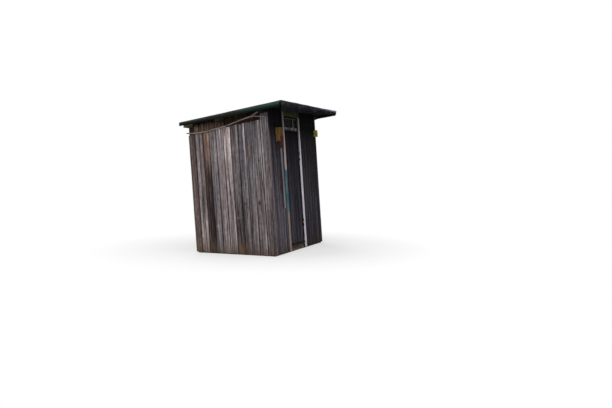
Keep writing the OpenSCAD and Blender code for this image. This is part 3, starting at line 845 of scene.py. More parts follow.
class OuthouseColours(bpy.types.PropertyGroup):
    """The colours that set the look."""
    white: bpy.props.FloatVectorProperty(
        name="Casing White", description="Paint of the casing strips",
        default=(0.62, 0.585, 0.66), size=3, min=0.0, max=1.0, subtype="COLOR")
    teal: bpy.props.FloatVectorProperty(
        name="Casing Teal", description="Older paint on the left casing strip",
        default=(0.0, 0.115, 0.148), size=3, min=0.0, max=1.0, subtype="COLOR")
    green: bpy.props.FloatVectorProperty(
        name="Fascia Green", description="Paint of the side fascias",
        default=(0.003, 0.085, 0.062), size=3, min=0.0, max=1.0, subtype="COLOR")
    yellow: bpy.props.FloatVectorProperty(
        name="Box Yellow", description="Paint of the larger box",
        default=(0.155, 0.092, 0.024), size=3, min=0.0, max=1.0, subtype="COLOR")
    red: bpy.props.FloatVectorProperty(
        name="Plate Red", description="Paint of the plate",
        default=(0.078, 0.012, 0.009), size=3, min=0.0, max=1.0, subtype="COLOR")


# Operators, one for each group of pieces

# The left wall's boards from the front to the rear, in the colours that show
LEFT_TONES = (
    {"high": (0.12, 0.106, 0.112), "low": (0.13, 0.108, 0.114), "edges": (2.7, 1.1)},
    {"high": (0.112, 0.10, 0.108), "low": (0.118, 0.099, 0.105), "edges": (2.6, 1.1)},
    {"high": (0.10, 0.088, 0.096), "low": (0.088, 0.073, 0.076), "turn": 0.75, "edges": (3.8, 0.85),
     "reach": (0.36, 0.3)},
    {"high": (0.14, 0.118, 0.124), "low": (0.075, 0.062, 0.062), "turn": 0.9, "soft": 0.5,
     "edges": (1.15, 0.85), "reach": (0.3, 0.5)},
    {"high": (0.31, 0.263, 0.265), "low": (0.225, 0.185, 0.19), "turn": 1.2,
     "edges": ((1.6, 1.55, 1.45), 1.25)},
    {"high": (0.31, 0.262, 0.277), "low": (0.215, 0.177, 0.182), "turn": 1.3, "soft": 0.2,
     "edges": (1.2, 0.6)},
    {"high": (0.24, 0.215, 0.222), "low": (0.16, 0.136, 0.144), "turn": 1.4, "soft": 0.2,
     "edges": (1.4, 0.45), "reach": (0.3, 0.6)},
    {"high": (0.18, 0.117, 0.098), "low": (0.047, 0.034, 0.033), "turn": 1.36, "soft": 0.16},
    {"high": (0.175, 0.147, 0.148), "low": (0.30, 0.24, 0.236), "turn": 0.5, "soft": 0.2,
     "edges": ((0.75, 0.7, 0.67), 1.35)},
    {"high": (0.092, 0.07, 0.065), "low": (0.126, 0.098, 0.095), "turn": 0.7, "edges": (1.3, 1.0)},
)


def right_edges():
    """Foot positions of the right wall's board edges, and the random numbers that follow them."""
    rng = np.random.RandomState(23)
    return spread_edges(SIDE_Y0 + SEAT, WALL_D - 0.001, rng), rng


def rear_edges():
    """Positions of the rear wall's board edges, and the random numbers that follow them."""
    rng = np.random.RandomState(41)
    return spread_edges(-INNER_X, INNER_X, rng), rng


def side_wall(name, kind, node, side, edges, tones, rng, look):
    """The vertical boards of one side wall."""
    cut = wall_cut(look, 0.0022, 0.014, 0.45)
    parts = []
    for (start, width, laps), tone in zip(row(edges), tones):
        parts.append(board(at_side(side, HALF_W, start), width, BOARD_T, FOOT_GAP,
                           lambda x: side_top(start + x), tone, rng, cut, laps))
    finish_timber(parts, name, "hut", "side_boards", wood(kind), node, look.bevel)


class OUTHOUSE_OT_left_wall(bpy.types.Operator):
    """Boards of the left wall"""
    bl_idname = "outhouse.left_wall"
    bl_label = "Left Wall"

    def execute(self, context):
        side_wall("left_wall_boards", "left", "left_wall", -1, LEFT_EDGES, LEFT_TONES,
                  np.random.RandomState(11), context.scene.outhouse_boards)
        return {"FINISHED"}


class OUTHOUSE_OT_right_wall(bpy.types.Operator):
    """Boards of the right wall"""
    bl_idname = "outhouse.right_wall"
    bl_label = "Right Wall"

    def execute(self, context):
        edges, rng = right_edges()
        tones = [palette(SIDE_TONES, rng) for _ in edges]
        side_wall("right_wall_boards", "side", "right_wall", 1, edges, tones, rng,
                  context.scene.outhouse_boards)
        return {"FINISHED"}


class OUTHOUSE_OT_corner_boards(bpy.types.Operator):
    """The taller boards at the front corners"""
    bl_idname = "outhouse.corner_boards"
    bl_label = "Corner Boards"

    def execute(self, context):
        look = context.scene.outhouse_boards
        rng = np.random.RandomState(31)
        first, last = (leaning_top(FRONT_Y + y, 0.0703) for y in (0.0, CORNER_W))
        # Lighter along the front edge, where light catches the corner: a painted highlight
        tone = {"high": (0.12, 0.104, 0.11), "low": (0.15, 0.126, 0.131), "turn": 0.45, "soft": 0.2,
                "edges": (1.3, 2.1), "reach": (0.05, 0.34), "lines": ((0.07, 0.45),)}
        cut = wall_cut(look, 0.002, 0.004, gap=0.3, wave=0.4)
        parts = [board(at_side(side, HALF_W, 0.0), CORNER_W, BOARD_T, FOOT_GAP,
                       lambda x: first + (last - first) * x / CORNER_W,
                       tone, rng, cut, (False, True), lit_edge=True) for side in (-1, 1)]
        finish_timber(parts, "corner_planks", "hut", "side_boards", wood("side"), "corner_boards", look.bevel)
        return {"FINISHED"}


class OUTHOUSE_OT_rear_wall(bpy.types.Operator):
    """Boards of the rear wall"""
    bl_idname = "outhouse.rear_wall"
    bl_label = "Rear Wall"

    def execute(self, context):
        look = context.scene.outhouse_boards
        edges, rng = rear_edges()
        cut = wall_cut(look, 0.0022, 0.004)
        parts = [board(at_rear(start), width, BOARD_T, FOOT_GAP, leaning_top(REAR_Y) - 0.0015,
                       palette(SIDE_TONES, rng), rng, cut, laps) for start, width, laps in row(edges)]
        finish_timber(parts, "rear_wall_boards", "hut", "side_boards", wood("side"), "rear_wall", look.bevel)
        return {"FINISHED"}


class OUTHOUSE_OT_front_wall(bpy.types.Operator):
    """Boards of the front wall, left and right of the doorway and over the window"""
    bl_idname = "outhouse.front_wall"
    bl_label = "Front Wall"

    def execute(self, context):
        look = context.scene.outhouse_boards
        rng = np.random.RandomState(53)
        long_cut = wall_cut(look, 0.002)
        short_cut = long_cut._replace(along=4, foot=0.0, split=0.0)
        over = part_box("front_wall_over_door")[0].z
        top = leaning_top(FRONT_Y) - 0.004
        for name, node, x0, x1, foot, cut in (
                ("front_boards_left", "front_wall_left", -INNER_X, DOOR_X0, FOOT_GAP, long_cut),
                ("front_boards_right", "front_wall_right", DOOR_X1, INNER_X, FOOT_GAP, long_cut),
                ("front_boards_over_door", "front_wall_over_door", DOOR_X0, DOOR_X1, over, short_cut)):
            parts = []
            for start, width, laps in row(spread_edges(x0, x1, rng, 0.10, 0.145)):
                tone = palette(FRONT_TONES, rng, 0.22)
                # Darker high up and lighter low down: painted shade under the eave
                if x0 > 0:
                    tone = shaded(tone, 0.27, 1.32, 1.45, soft=0.55)
                elif start == -INNER_X:
                    tone = shaded(tone, 0.9, 2.7, 1.3, soft=0.6,
                                  edges=((5.0, 3.8, 3.0), 1.0), reach=(0.35, 0.3))
                else:
                    tone = shaded(tone, 0.55, 2.7, 1.3, soft=0.6)
                parts.append(board(upright(start, FRONT_Y), width, BOARD_T, foot, top, tone, rng, cut, laps))
            finish_timber(parts, name, "hut", "front_boards", wood("front"), node, look.bevel)
        return {"FINISHED"}


class OUTHOUSE_OT_gables(bpy.types.Operator):
    """The brown boards set back under the side eaves"""
    bl_idname = "outhouse.gables"
    bl_label = "Gable Boards"

    def execute(self, context):
        rng = np.random.RandomState(61)
        front, rear = POST_BACK + SEAT, WALL_D - POST_BACK - SEAT
        # The purlin's faces, counted from the front wall's foot as the boards are
        purlin0, purlin1 = PURLIN_BACK - POST_W - 0.0003 - FRONT_Y, PURLIN_BACK + 0.0003 - FRONT_Y
        before_purlin, behind_purlin, head_gap = purlin0 - 0.004, purlin1 + 0.008, 0.002

        def height(drop, start):
            return lambda x: leaning_top(FRONT_Y + start + x, drop)

        def brown(start):
            """Darker towards the front and under the roof, where the eave shades the boards."""
            share = 1.9 if start > 0.9 else 1.1 if start > 0.55 else 0.4
            turn = leaning_top(FRONT_Y + start, 0.072)
            return shaded(palette(GABLE_TONES, rng), 0.1, share, turn, soft=0.03)

        def planks(side, edges, head_drop, cut, closed=True):
            return [board(at_side(side, INNER_X, start), width, BOARD_T, height(PLATE_H + TOP_RAIL_H, start),
                          height(head_drop, start), brown(start), rng, cut, laps if closed else None)
                    for start, width, laps in row(edges)]

        for name, node, side in (("left_gable_planks", "left_gable_boards", -1),
                                 ("right_gable_planks", "right_gable_boards", 1)):
            first = spread_edges(front, before_purlin, rng)
            parts = planks(side, first if side > 0 else (front, before_purlin), head_gap, GABLE_FRONT)
            parts += planks(side, (purlin0, purlin1 + 0.006), PLATE_H + head_gap, GABLE_MIDDLE, False)
            parts += planks(side, spread_edges(behind_purlin, rear, rng), head_gap, GABLE_REAR)
            finish_timber(parts, name, "hut", "gable_boards", wood("gable"), node,
                          context.scene.outhouse_boards.bevel)
        return {"FINISHED"}


class OUTHOUSE_OT_frame(bpy.types.Operator):
    """Sills, posts, plates and rails"""
    bl_idname = "outhouse.frame"
    bl_label = "Frame Timbers"

    def execute(self, context):
        rng = np.random.RandomState(71)
        front, rear = FRONT_Y + POST_IN, REAR_Y - POST_IN
        behind_posts = (FRONT_Y + POST_BACK + SEAT, REAR_Y - POST_BACK - SEAT)
        post_x = INNER_X - POST_W

        def tone():
            return palette(INNER_TONES, rng, 0.12)

        def across(y0, x0, x1, z0=0.0, height=SILL_H, thick=SILL_W):
            return board(lying(y0, z0), height, thick, x0, x1, tone(), rng, BEAM)

        def deep(x0, y0, y1, z0=0.0, height=SILL_H, thick=SILL_W):
            return board(lying_deep(x0, z0), height, thick, y0, y1, tone(), rng, BEAM)

        def post(x0, y0):
            top = leaning_top(y0 + POST_W, PLATE_H + SEAT) - 0.0005
            return board(upright(x0, y0), POST_W, POST_W, SILL_H, top, tone(), rng, POST)

        finish_frame("front_sill", [across(front, -INNER_X, INNER_X)], 0.004)
        finish_frame("rear_sill", [across(rear - SILL_W, -INNER_X, INNER_X)], 0.004)
        finish_frame("side_sills", [deep(x, front + SILL_W + SEAT, rear - SILL_W - SEAT)
                                    for x in (-INNER_X, INNER_X - SILL_W)], 0.004)
        finish_frame("front_posts", [post(-INNER_X, front), post(post_x, front)])
        finish_frame("rear_posts", [post(-INNER_X, rear - POST_W), post(post_x, rear - POST_W)])
        finish_frame("door_posts", [post(DOOR_X0 - POST_W, front), post(DOOR_X1, front)])

        # Plates: their foot and their top follow the roof, and the rear one's pale end shows under the eave
        inside_fascia = 0.03
        end = ROOF_W / 2 - FELT_T - FASCIA_T - inside_fascia
        # The front and middle plates are painted darker, as shade under the roof
        for node, y0, pale in (("front_plate", front, 0.12), ("middle_purlin", PURLIN_BACK - POST_W, 0.35),
                               ("rear_plate", rear - POST_W, 1.4)):
            def on_plate(x, y, z):
                height = between_drops(y0 + y, PLATE_H, 0.001, x / PLATE_H)
                return z, y0 + y + height * SLOPE, height

            part = board(on_plate, PLATE_H, POST_W, -end, end, shaded(tone(), pale, pale, 1.0), rng, PLATE)
            finish_frame(node, [part])

        rails = []
        for x0 in (-INNER_X + BOARD_T, INNER_X - BOARD_T - RAIL_T):
            def on_rail(x, y, z):
                height = between_drops(z, PLATE_H + TOP_RAIL_H, PLATE_H + SEAT, x / TOP_RAIL_H)
                return x0 + y, z + height * SLOPE, height

            rails.append(board(on_rail, TOP_RAIL_H, RAIL_T, *behind_posts, tone(), rng, TOP_RAIL))
        finish_frame("side_top_rails", rails, name="side_top_rail_timbers")

        size = (RAIL_Z, RAIL_H, RAIL_T)
        rails = [deep(x, *behind_posts, *size) for x in (-INNER_X, INNER_X - RAIL_T)]
        for y0, x0, x1 in ((rear - RAIL_T, -post_x, post_x), (front, -post_x, DOOR_X0 - POST_W),
                           (front, DOOR_X1 + POST_W, post_x)):
            rails.append(across(y0, x0, x1, *size))
        finish_frame("wall_rails", rails, name="wall_rail_timbers")
        return {"FINISHED"}


class OUTHOUSE_OT_floor(bpy.types.Operator):
    """Floor boards, their joist and the threshold"""
    bl_idname = "outhouse.floor"
    bl_label = "Floor"

    def execute(self, context):
        rng = np.random.RandomState(83)
        thick = FLOOR_Z - SILL_H
        edge, joist, joist_t, joist_z = INNER_X - POST_W, INNER_X - SILL_W, 0.04, 0.02
        parts = []
        for start, width, _ in row(spread_edges(FRONT_Y + POST_BACK + SEAT, REAR_Y - POST_BACK - SEAT, rng,
                                                0.11, 0.15)):
            parts.append(board(lambda x, y, z: (z, start + x + (FLOOR_Z - y) * SLOPE, FLOOR_Z - y),
                               width, thick, -edge, edge, palette(INNER_TONES, rng), rng, FLOOR_BOARD))
        middle = (FRONT_Y + REAR_Y - joist_t) / 2
        parts.append(board(lambda x, y, z: (z, middle + y, joist_z + x), SILL_H - joist_z, joist_t,
                           -joist, joist, palette(INNER_TONES, rng), rng, JOIST))
        finish_timber(parts, "floor_planks", "hut", "floor_boards", wood("inner"), "floor", 0.002)
        part = board(lying(FRONT_Y, SILL_H), thick, POST_BACK, DOOR_X0, DOOR_X1,
                     palette(FRONT_TONES, rng), rng, THRESHOLD)
        finish_timber([part], "threshold_board", "hut", "floor_boards", wood("front"), "threshold", 0.003)
        return {"FINISHED"}


class OUTHOUSE_OT_casing(bpy.types.Operator):
    """Painted casing strips, the head over the doorway and the batten"""
    bl_idname = "outhouse.casing"
    bl_label = "Casing"

    def execute(self, context):
        rng = np.random.RandomState(97)
        paint = context.scene.outhouse_colours
        thick, face_y, strip_top = STRIP_T - SEAT, FRONT_Y - STRIP_T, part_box("right_casing")[1].z
        eave = leaning_top(face_y, 0.008)
        old_white = tuple(v * share for v, share in zip(paint.white, (0.65, 0.56, 0.51)))
        teal_foot, teal_head = 0.70, 1.38
        # The eave settings paint shade near the tops of the strips
        two_paints = worn_paint("casing_white_teal", old_white, (0.27, 0.205, 0.175), 0.4,
                                tuple(paint.teal), (teal_foot, teal_head), teal_foot, eave=0.6)
        white = worn_paint("casing_white", tuple(paint.white), (0.16, 0.135, 0.125), 0.3, eave=0.72)
        for x0, top, name, node, finish in (
                (DOOR_X0 - STRIP_W, eave - 0.002, "left_casing_strip", "left_casing", two_paints),
                (DOOR_X1, strip_top, "right_casing_strip", "right_casing", white)):
            strip = board(upright(x0, face_y), STRIP_W, thick, FOOT_GAP, top,
                          {"high": (0.2, 0.16, 0.12)}, rng, CASING)
            finish_timber([strip], name, "hut", "casing_paint", finish, node, 0.002)
        head = board(lying(face_y, strip_top), eave - strip_top - 0.0005, thick, DOOR_X0 + 0.0005,
                     DOOR_X1 + STRIP_W,
                     {"high": (0.034, 0.02, 0.01), "low": (0.036, 0.035, 0.016), "turn": 0.12, "soft": 0.02,
                      "edges": (1.7, 0.9), "reach": (0.5, 0.3)}, rng, HEAD_BOARD)
        olive = weathered_wood("olive_head_wood", 0.7, warm=(0.05, 0.03, 0.015), warmth=0.4,
                               silver=(0.065, 0.062, 0.035), silvering=0.3, cracks=0.5)
        finish_timber([head], "door_head_board", "hut", "head_wood", olive, "door_head", 0.002)
        low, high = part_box("wall_batten")
        foot, top = 0.715, 1.6715
        batten = board(on_door(low.x, -STRIP_T), high.x - low.x, thick, up(foot), up(top),
                       {"high": (0.26, 0.239, 0.28)}, rng, BATTEN)
        grey = weathered_wood("grey_batten_wood", 0.8, silver=(0.25, 0.24, 0.27), warmth=0.25)
        finish_timber([batten], "grey_batten", "hut", "grey_batten", grey, "wall_batten", 0.002)
        return {"FINISHED"}


class OUTHOUSE_OT_window(bpy.types.Operator):
    """The fixed window over the door with its frame, its bar and the timbers behind it"""
    bl_idname = "outhouse.window"
    bl_label = "Window"

    def execute(self, context):
        rng = np.random.RandomState(101)
        thick, high, foot_h, head_h, stile_w = 0.03, 0.207, 0.058, 0.02, 0.028
        bar_x, bar_t = -0.012 - stile_w / 2, 0.0128
        z0 = up_from(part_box("window_frame")[0].z, thick)
        z1 = z0 + up(high)
        tone, bar_tone = {"high": (0.054, 0.047, 0.051)}, {"high": (0.22, 0.2, 0.185)}
        parts = [board(across_door(a, 0.0), b - a, thick, DOOR_X0, DOOR_X1, tone, rng, WINDOW_RAIL)
                 for a, b in ((z0, z0 + foot_h), (z1 - head_h, z1))]
        for x0, shade, deep in ((DOOR_X0, tone, thick), (DOOR_X1 - stile_w, tone, thick),
                                (bar_x, bar_tone, bar_t)):
            parts.append(board(on_door(x0, 0.0), stile_w, deep, z0 + foot_h, z1 - head_h,
                               shade, rng, WINDOW_STILE))
        pale_spots = [((x, 0.0, z), (size, 0.0, size * 0.7)) for x, z, size in (
            (-0.40, 2.0, 0.042), (-0.305, 2.003, 0.05), (-0.055, 1.995, 0.06), (0.085, 1.985, 0.05))]
        old_white = worn_paint("window_old_white", None, (0.016, 0.012, 0.010), 0.6, pale_spots=pale_spots)
        finish_timber(parts, "window_frame_timber", "hut", "head_wood", old_white, "window_frame", 0.0015)
        coat(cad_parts["window_glass"], dusty_glass("dusty_window_glass"))

        # The timbers that the door shuts against, which reach back as far as the posts
        back, depth = POST_BACK, DOOR_BACK + 0.006
        low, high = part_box("transom_bar")
        base, top = up_from(low.z, back), up_from(high.z, depth)
        # The bar's near-black tone is painted shade where it is set back over the door
        bar = board(across_door(base, depth), top - base, back - depth, DOOR_X0, DOOR_X1,
                    {"high": (0.008, 0.007, 0.007)}, rng, TRANSOM)
        finish_frame("transom_bar", [bar], 0.002, "transom_timber")
        low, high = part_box("door_stop")
        stop = board(on_door(low.x, depth), high.x - low.x, back - depth, up_from(low.z, back),
                     up_from(high.z, depth), palette(INNER_TONES, rng), rng, DOOR_STOP)
        finish_frame("door_stop", [stop], 0.002)
        return {"FINISHED"}


def door_edges():
    """Edges of the door's boards."""
    low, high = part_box("door_boards")
    return [low.x] + [low.x + joint for joint in DOOR_JOINTS] + [high.x]


class OUTHOUSE_OT_door(bpy.types.Operator):
    """The plank door with its ledges"""
    bl_idname = "outhouse.door"
    bl_label = "Door"

    def execute(self, context):
        look = context.scene.outhouse_boards
        rng = np.random.RandomState(113)
        low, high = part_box("door_boards")
        foot, head = up_from(low.z, DOOR_BACK), up_from(high.z, DOOR_IN)
        cut = wall_cut(look, 0.0018, 0.003, 0.2, wave=0.6)._replace(foot=0.006)
        parts = []
        for start, width, laps in row(door_edges()):
            first = (3.2, 2.6, 2.1) if start == low.x else 1.0
            # Darker high up and lighter low down: painted shade under the eave
            tone = shaded(palette(DOOR_TONES, rng), 0.4, 2.2, 1.05, soft=0.8,
                          edges=(first, 1.0), reach=(0.32, 0.3))
            parts.append(board(on_door(start, DOOR_IN), width, BOARD_T, foot, head, tone, rng, cut, laps))
        finish_timber(parts, "door_planks", "door", "door_boards", wood("front"), "door_boards", look.bevel)
        low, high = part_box("door_ledges")
        ledge_h, ledge_t, above_foot, under_head = 0.09, 0.024, 0.18, 0.27
        parts = [board(across_door(z, DOOR_BACK + SEAT), up(ledge_h), ledge_t - SEAT, low.x, high.x,
                       palette(LEDGE_TONES, rng), rng, LEDGE)
                 for z in (foot + up(above_foot), head - up(under_head))]
        finish_timber(parts, "door_ledge_timbers", "door", "frame_timber", wood("inner"),
                      "door_ledges", 0.003)
        return {"FINISHED"}


class OUTHOUSE_OT_roof_boards(bpy.types.Operator):
    """The roof boards under the felt and the green fascias"""
    bl_idname = "outhouse.roof_boards"
    bl_label = "Roof Boards"

    def execute(self, context):
        rng = np.random.RandomState(127)
        clear, thinner = 0.0005, 0.97
        outer = ROOF_W / 2 - FELT_T
        edge = outer - FASCIA_T - clear
        front, rear = EAVE_Y + FOLD_T + clear, ROOF_D / 2 - FELT_T - clear
        parts = []
        for start, width, _ in row(spread_edges(-edge, edge, rng, 0.11, 0.16)):
            def on_roof(x, y, z):
                return start + x, z, roof_under(z) + clear + y * thinner - sag(start + x, z)

            parts.append(board(on_roof, width, BOARD_T - 0.001, front, rear, palette(ROOF_TONES, rng), rng,
                               ROOF_BOARD))
        finish_timber(parts, "roof_planks", "hut", "roof_boards", wood("gable"), "roof_boards", 0.0015)

        # Brighter green towards the front; along the lower edge the green is painted near black, as shade
        # under the roof
        shade = np.array(context.scene.outhouse_colours.green)
        tone = {"high": shade * (1.0, 0.85, 0.95), "low": shade * (1.3, 2.2, 2.1), "turn": -0.4, "soft": 0.4,
                "edges": (-0.9, 1.0), "reach": (0.7, 0.3)}
        # The inner faces are unpainted timber, near black as painted shade under the roof
        green = worn_paint("old_green_paint", None, (0.012, 0.014, 0.012), 0.02, grime=(0.006, 0.03, 0.022),
                           rough=0.9, outer=outer - 0.001, specular=0.008)
        deck = (BOARD_T - SEAT) / math.cos(PITCH) - clear
        front_h, rear_h = 0.082, 0.058
        for side, name, node in ((-1, "left_fascia_board", "left_fascia"),
                                 (1, "right_fascia_board", "right_fascia")):
            def on_fascia(x, y, z):
                depth = front_h + (rear_h - front_h) * (z - front) / (rear - front)
                return side * (outer - y), z, roof_under(z) + deck - depth * (1 - x / front_h) - clear

            part = board(on_fascia, front_h, FASCIA_T, front, rear, tone, rng, FASCIA)
            finish_timber([part], name, "hut", "green_paint", green, node, 0.002)
        return {"FINISHED"}


def lumps(x, y, phase):
    """How far the felt sinks below its plane at x, y."""
    rough = (np.sin(3.1 * x + phase[0]) * np.cos(4.7 * y + phase[1])
             + 0.6 * np.sin(8.3 * x + phase[2] + 2 * y) + 0.5 * np.cos(11.9 * y + phase[3] - 3 * x)
             + 0.35 * np.sin(23 * x + phase[4]) * np.sin(19 * y + phase[5]))
    return 0.0007 * (rough + 2.4)


def felt_sheet():
    """The felt over the roof, its edges turned down."""
    sheet, x, y = new_grid(110, 84)
    x, y = x * (ROOF_W - 0.012), y * (ROOF_D - 0.024) + 0.005
    top = ROOF_TOP - (y - EAVE_Y) * FALL
    # The front strip of felt laps over the rear one, which lies a little lower
    step = 0.0022 * (1 / (1 + np.exp(-(y - 0.02 - 0.006 * np.sin(5 * x)) / 0.004)))
    round_off = 0.004 * np.clip((np.abs(x) - (ROOF_W / 2 - 0.02)) / 0.014, 0, 1) ** 2
    z = top - lumps(x, y, np.random.RandomState(131).uniform(0, 6.28, 12)) - step - sag(x, y) - round_off
    set_corners(sheet, np.stack([x, y, z], axis=1))
    bpy.ops.object.mode_set(mode="EDIT")
    bpy.ops.mesh.select_mode(type="EDGE")
    bpy.ops.mesh.select_all(action="DESELECT")
    bpy.ops.mesh.select_non_manifold()
    for drop in (0.004, 0.020):
        bpy.ops.mesh.extrude_region_move(TRANSFORM_OT_translate={"value": (0.0, 0.0, -drop)})
        bpy.ops.transform.resize(value=(1.0008, 1.0004, 1.0), center_override=(0.0, 0.0, 0.0))
    bpy.ops.object.mode_set(mode="OBJECT")
    points = corners(sheet)
    points[:, 0] = np.clip(points[:, 0], -ROOF_W / 2 + 0.0005, ROOF_W / 2 - 0.0005)
    points[:, 1] = np.clip(points[:, 1], EAVE_Y + FOLD_T, ROOF_D / 2 - 0.0002)
    set_corners(sheet, points)
    apply_modifier(sheet, "SOLIDIFY", thickness=0.0035, offset=-1.0)
    smooth(sheet, 40)
    sheet.name = "roof_felt_sheet"
    return sheet


def front_fold():
    """The thick felt folded over the front edge, with its rolls and pleats."""
    fold, u, v = new_grid(220, 44)
    u, v = u + 0.5, 0.5 - v
    x = (u - 0.5) * (ROOF_W - 0.001) + 0.004 * (1 - u)
    flat, bend, radius, tuck, lip_r = 0.05, 0.016, 0.010, 0.012, 0.0075
    left_h, right_h = 0.165, 0.062
    depth = left_h + (right_h - left_h) * u + 0.005 * np.sin(9 * x + 1.1) + 0.003 * np.sin(23 * x)
    # Short pleats along the edge, stronger towards the left
    pleat = np.clip(np.sin(71 * x + 2.2 * np.sin(9 * x)) + 0.5 * np.sin(163 * x + 1.7), -1, 1)
    pleat = pleat * np.clip(0.9 - x, 0.25, 1.0)
    crown = ROOF_TOP - 0.0036 - sag(x, np.full_like(x, EAVE_Y)) - 0.0014 * (np.sin(13 * x + 0.6) + pleat)
    # Distance along the fold: back over the roof, round the edge, down the front and in under the lip
    run = v * (flat + bend + depth + 0.02)
    on_roof = np.clip(flat - run, 0, None)
    y = EAVE_Y + 0.011 + on_roof
    z = crown - on_roof * FALL
    turn = np.clip((run - flat) / bend, 0, 1) * math.pi / 2
    y = y - radius * np.sin(turn)
    z = z - radius * (1 - np.cos(turn))
    down = np.clip(run - flat - bend, 0, depth - tuck)
    z = z - down
    lip = np.clip((run - flat - bend - depth + tuck) / (tuck + 0.02), 0, 1) * math.pi
    y = y + lip_r * (1 - np.cos(lip))
    z = z - lip_r * np.sin(lip)
    # Rolls that run along the fold, slump and part, with the pleats dying out below them
    share = np.clip(down / 0.02, 0, 1)
    wander = 0.3 * np.sin(2.3 * x + 0.5) + 0.12 * np.sin(9.0 * x)
    roll = 0.5 - 0.5 * np.cos(2 * math.pi * (down / 0.05 + wander))
    slump = (0.5 + 0.5 * np.sin(17 * x + 40 * down)) * (0.5 + 0.5 * np.sin(5.1 * x - 22 * down + 1.0))
    y = y + share * (0.0042 * roll + 0.0026 * slump)
    y = y + 0.0016 * (1 + pleat) * np.exp(-(down / 0.045) ** 2) * np.clip(down / 0.004, 0, 1)
    set_corners(fold, np.stack([x, np.maximum(y, EAVE_Y + 0.0004), z], axis=1))
    return fold


def corner_flap():
    """The end of the fold, round the roof's left corner."""
    flap, back, low = new_grid(6, 16)
    back, low = back + 0.5, 0.5 - low
    y = EAVE_Y + 0.0006 + back * (0.028 - 0.004 * low + 0.004 * np.sin(9 * low))
    head = ROOF_TOP - 0.0255 - (y - EAVE_Y) * FALL
    foot = ROOF_TOP - 0.158 + 0.03 * back ** 2 + 0.004 * np.sin(14 * back)
    x = -ROOF_W / 2 + 0.0006 + 0.0010 * (1 + np.sin(11 * low + 4 * back)) * 0.5
    set_corners(flap, np.stack([x, y, head + (foot - head) * low], axis=1))
    return flap


class OUTHOUSE_OT_felt(bpy.types.Operator):
    """The roofing felt and its thick fold over the front edge"""
    bl_idname = "outhouse.felt"
    bl_label = "Roofing Felt"

    def execute(self, context):
        roof_finish = felt("dusty_roof_felt", (0.026, 0.023, 0.022), (0.08, 0.069, 0.061), 0.45, lap=0.02)
        put(felt_sheet(), "hut", "roof_felt", roof_finish, "roof_felt")
        fold, flap = front_fold(), corner_flap()
        for part, thick in ((fold, 0.004), (flap, 0.0025)):
            outward(part)
            apply_modifier(part, "SOLIDIFY", thickness=thick, offset=-1.0)
        points = corners(flap)
        points[:, 0] = np.clip(points[:, 0], -ROOF_W / 2 + 0.0003, None)
        set_corners(flap, points)
        fold = join([fold, flap], "front_felt_fold")
        outward(fold)
        smooth(fold, 45)
        put(fold, "hut", "roof_felt", felt("dark_folded_felt", (0.014, 0.0155, 0.0185), (0.066, 0.064, 0.073),
                                           0.55, 0.008, 2.33), "felt_fold")
        return {"FINISHED"}


class OUTHOUSE_OT_pole(bpy.types.Operator):
    """The crooked forked pole"""
    bl_idname = "outhouse.pole"
    bl_label = "Side Pole"

    def execute(self, context):
        pole = node_copy("side_pole", "crooked_pole")
        apply_modifier(pole, "SUBSURF", levels=1, render_levels=1)
        points = corners(pole)
        x, y, z = points.T
        points[:, 0] = x + 0.0009 * np.sin(61 * y + 140 * z)
        points[:, 2] = z + 0.0009 * np.sin(47 * y + 150 * x)
        set_corners(pole, points)
        take(pole)
        bpy.ops.object.shade_smooth()
        bark = stick_bark("dry_stick", (0.29, 0.225, 0.195), (0.11, 0.08, 0.066))
        put(pole, "hut", "pole_wood", bark, "side_pole")
        return {"FINISHED"}


def mark_panels(piece, rim, sunk):
    """Marks, for painted shade, the points of the sunk panels in the front and the left side of a box on the
    front wall, and of its front face.
    """
    x, y, z = corners(piece).T
    inward = (y - FRONT_Y) * math.cos(LEAN) - z * math.sin(LEAN)
    upward = (y - FRONT_Y) * math.sin(LEAN) + z * math.cos(LEAN)

    def within(values):
        room = rim - 0.002
        return (values > values.min() + room) & (values < values.max() - room)

    def at_panel(values):
        away = values - values.min()
        return (away > sunk * 0.6) & (away < sunk * 1.5)

    panel = np.where(at_panel(inward) & within(x), 1.0, (at_panel(x) & within(inward)) * 0.5) * within(upward)
    keep(piece, "panel", "FLOAT", "value", np.maximum(panel, (inward < inward.min() + sunk * 0.6) * 0.6))


class OUTHOUSE_OT_fittings(bpy.types.Operator):
    """The yellow box with its red plate, and the small yellow block"""
    bl_idname = "outhouse.fittings"
    bl_label = "Fittings"

    def execute(self, context):
        paint = context.scene.outhouse_colours
        yellow = coated("worn_yellow_paint", tuple(paint.yellow), (0.05, 0.026, 0.012), 1.1)
        pale = coated("worn_pale_yellow", (0.52, 0.39, 0.085), (0.18, 0.13, 0.05), 0.5)
        red = coated("faded_red_paint", tuple(paint.red), (0.085, 0.02, 0.01), 0.3, False, 0.012)
        for node, name, slot, finish, bevel, panel in (
                ("yellow_box", "yellow_wall_box", "yellow_paint", yellow, 0.002, (0.016, 0.005)),
                ("yellow_block", "small_yellow_block", "yellow_paint", pale, 0.0014, (0.012, 0.003)),
                ("red_plate", "red_wall_plate", "red_paint", red, 0.0012, None)):
            piece = node_copy(node, name, True)
            soften(piece, bevel, 3)
            if panel:
                mark_panels(piece, *panel)
            put(piece, "hut", slot, finish, node)
        return {"FINISHED"}


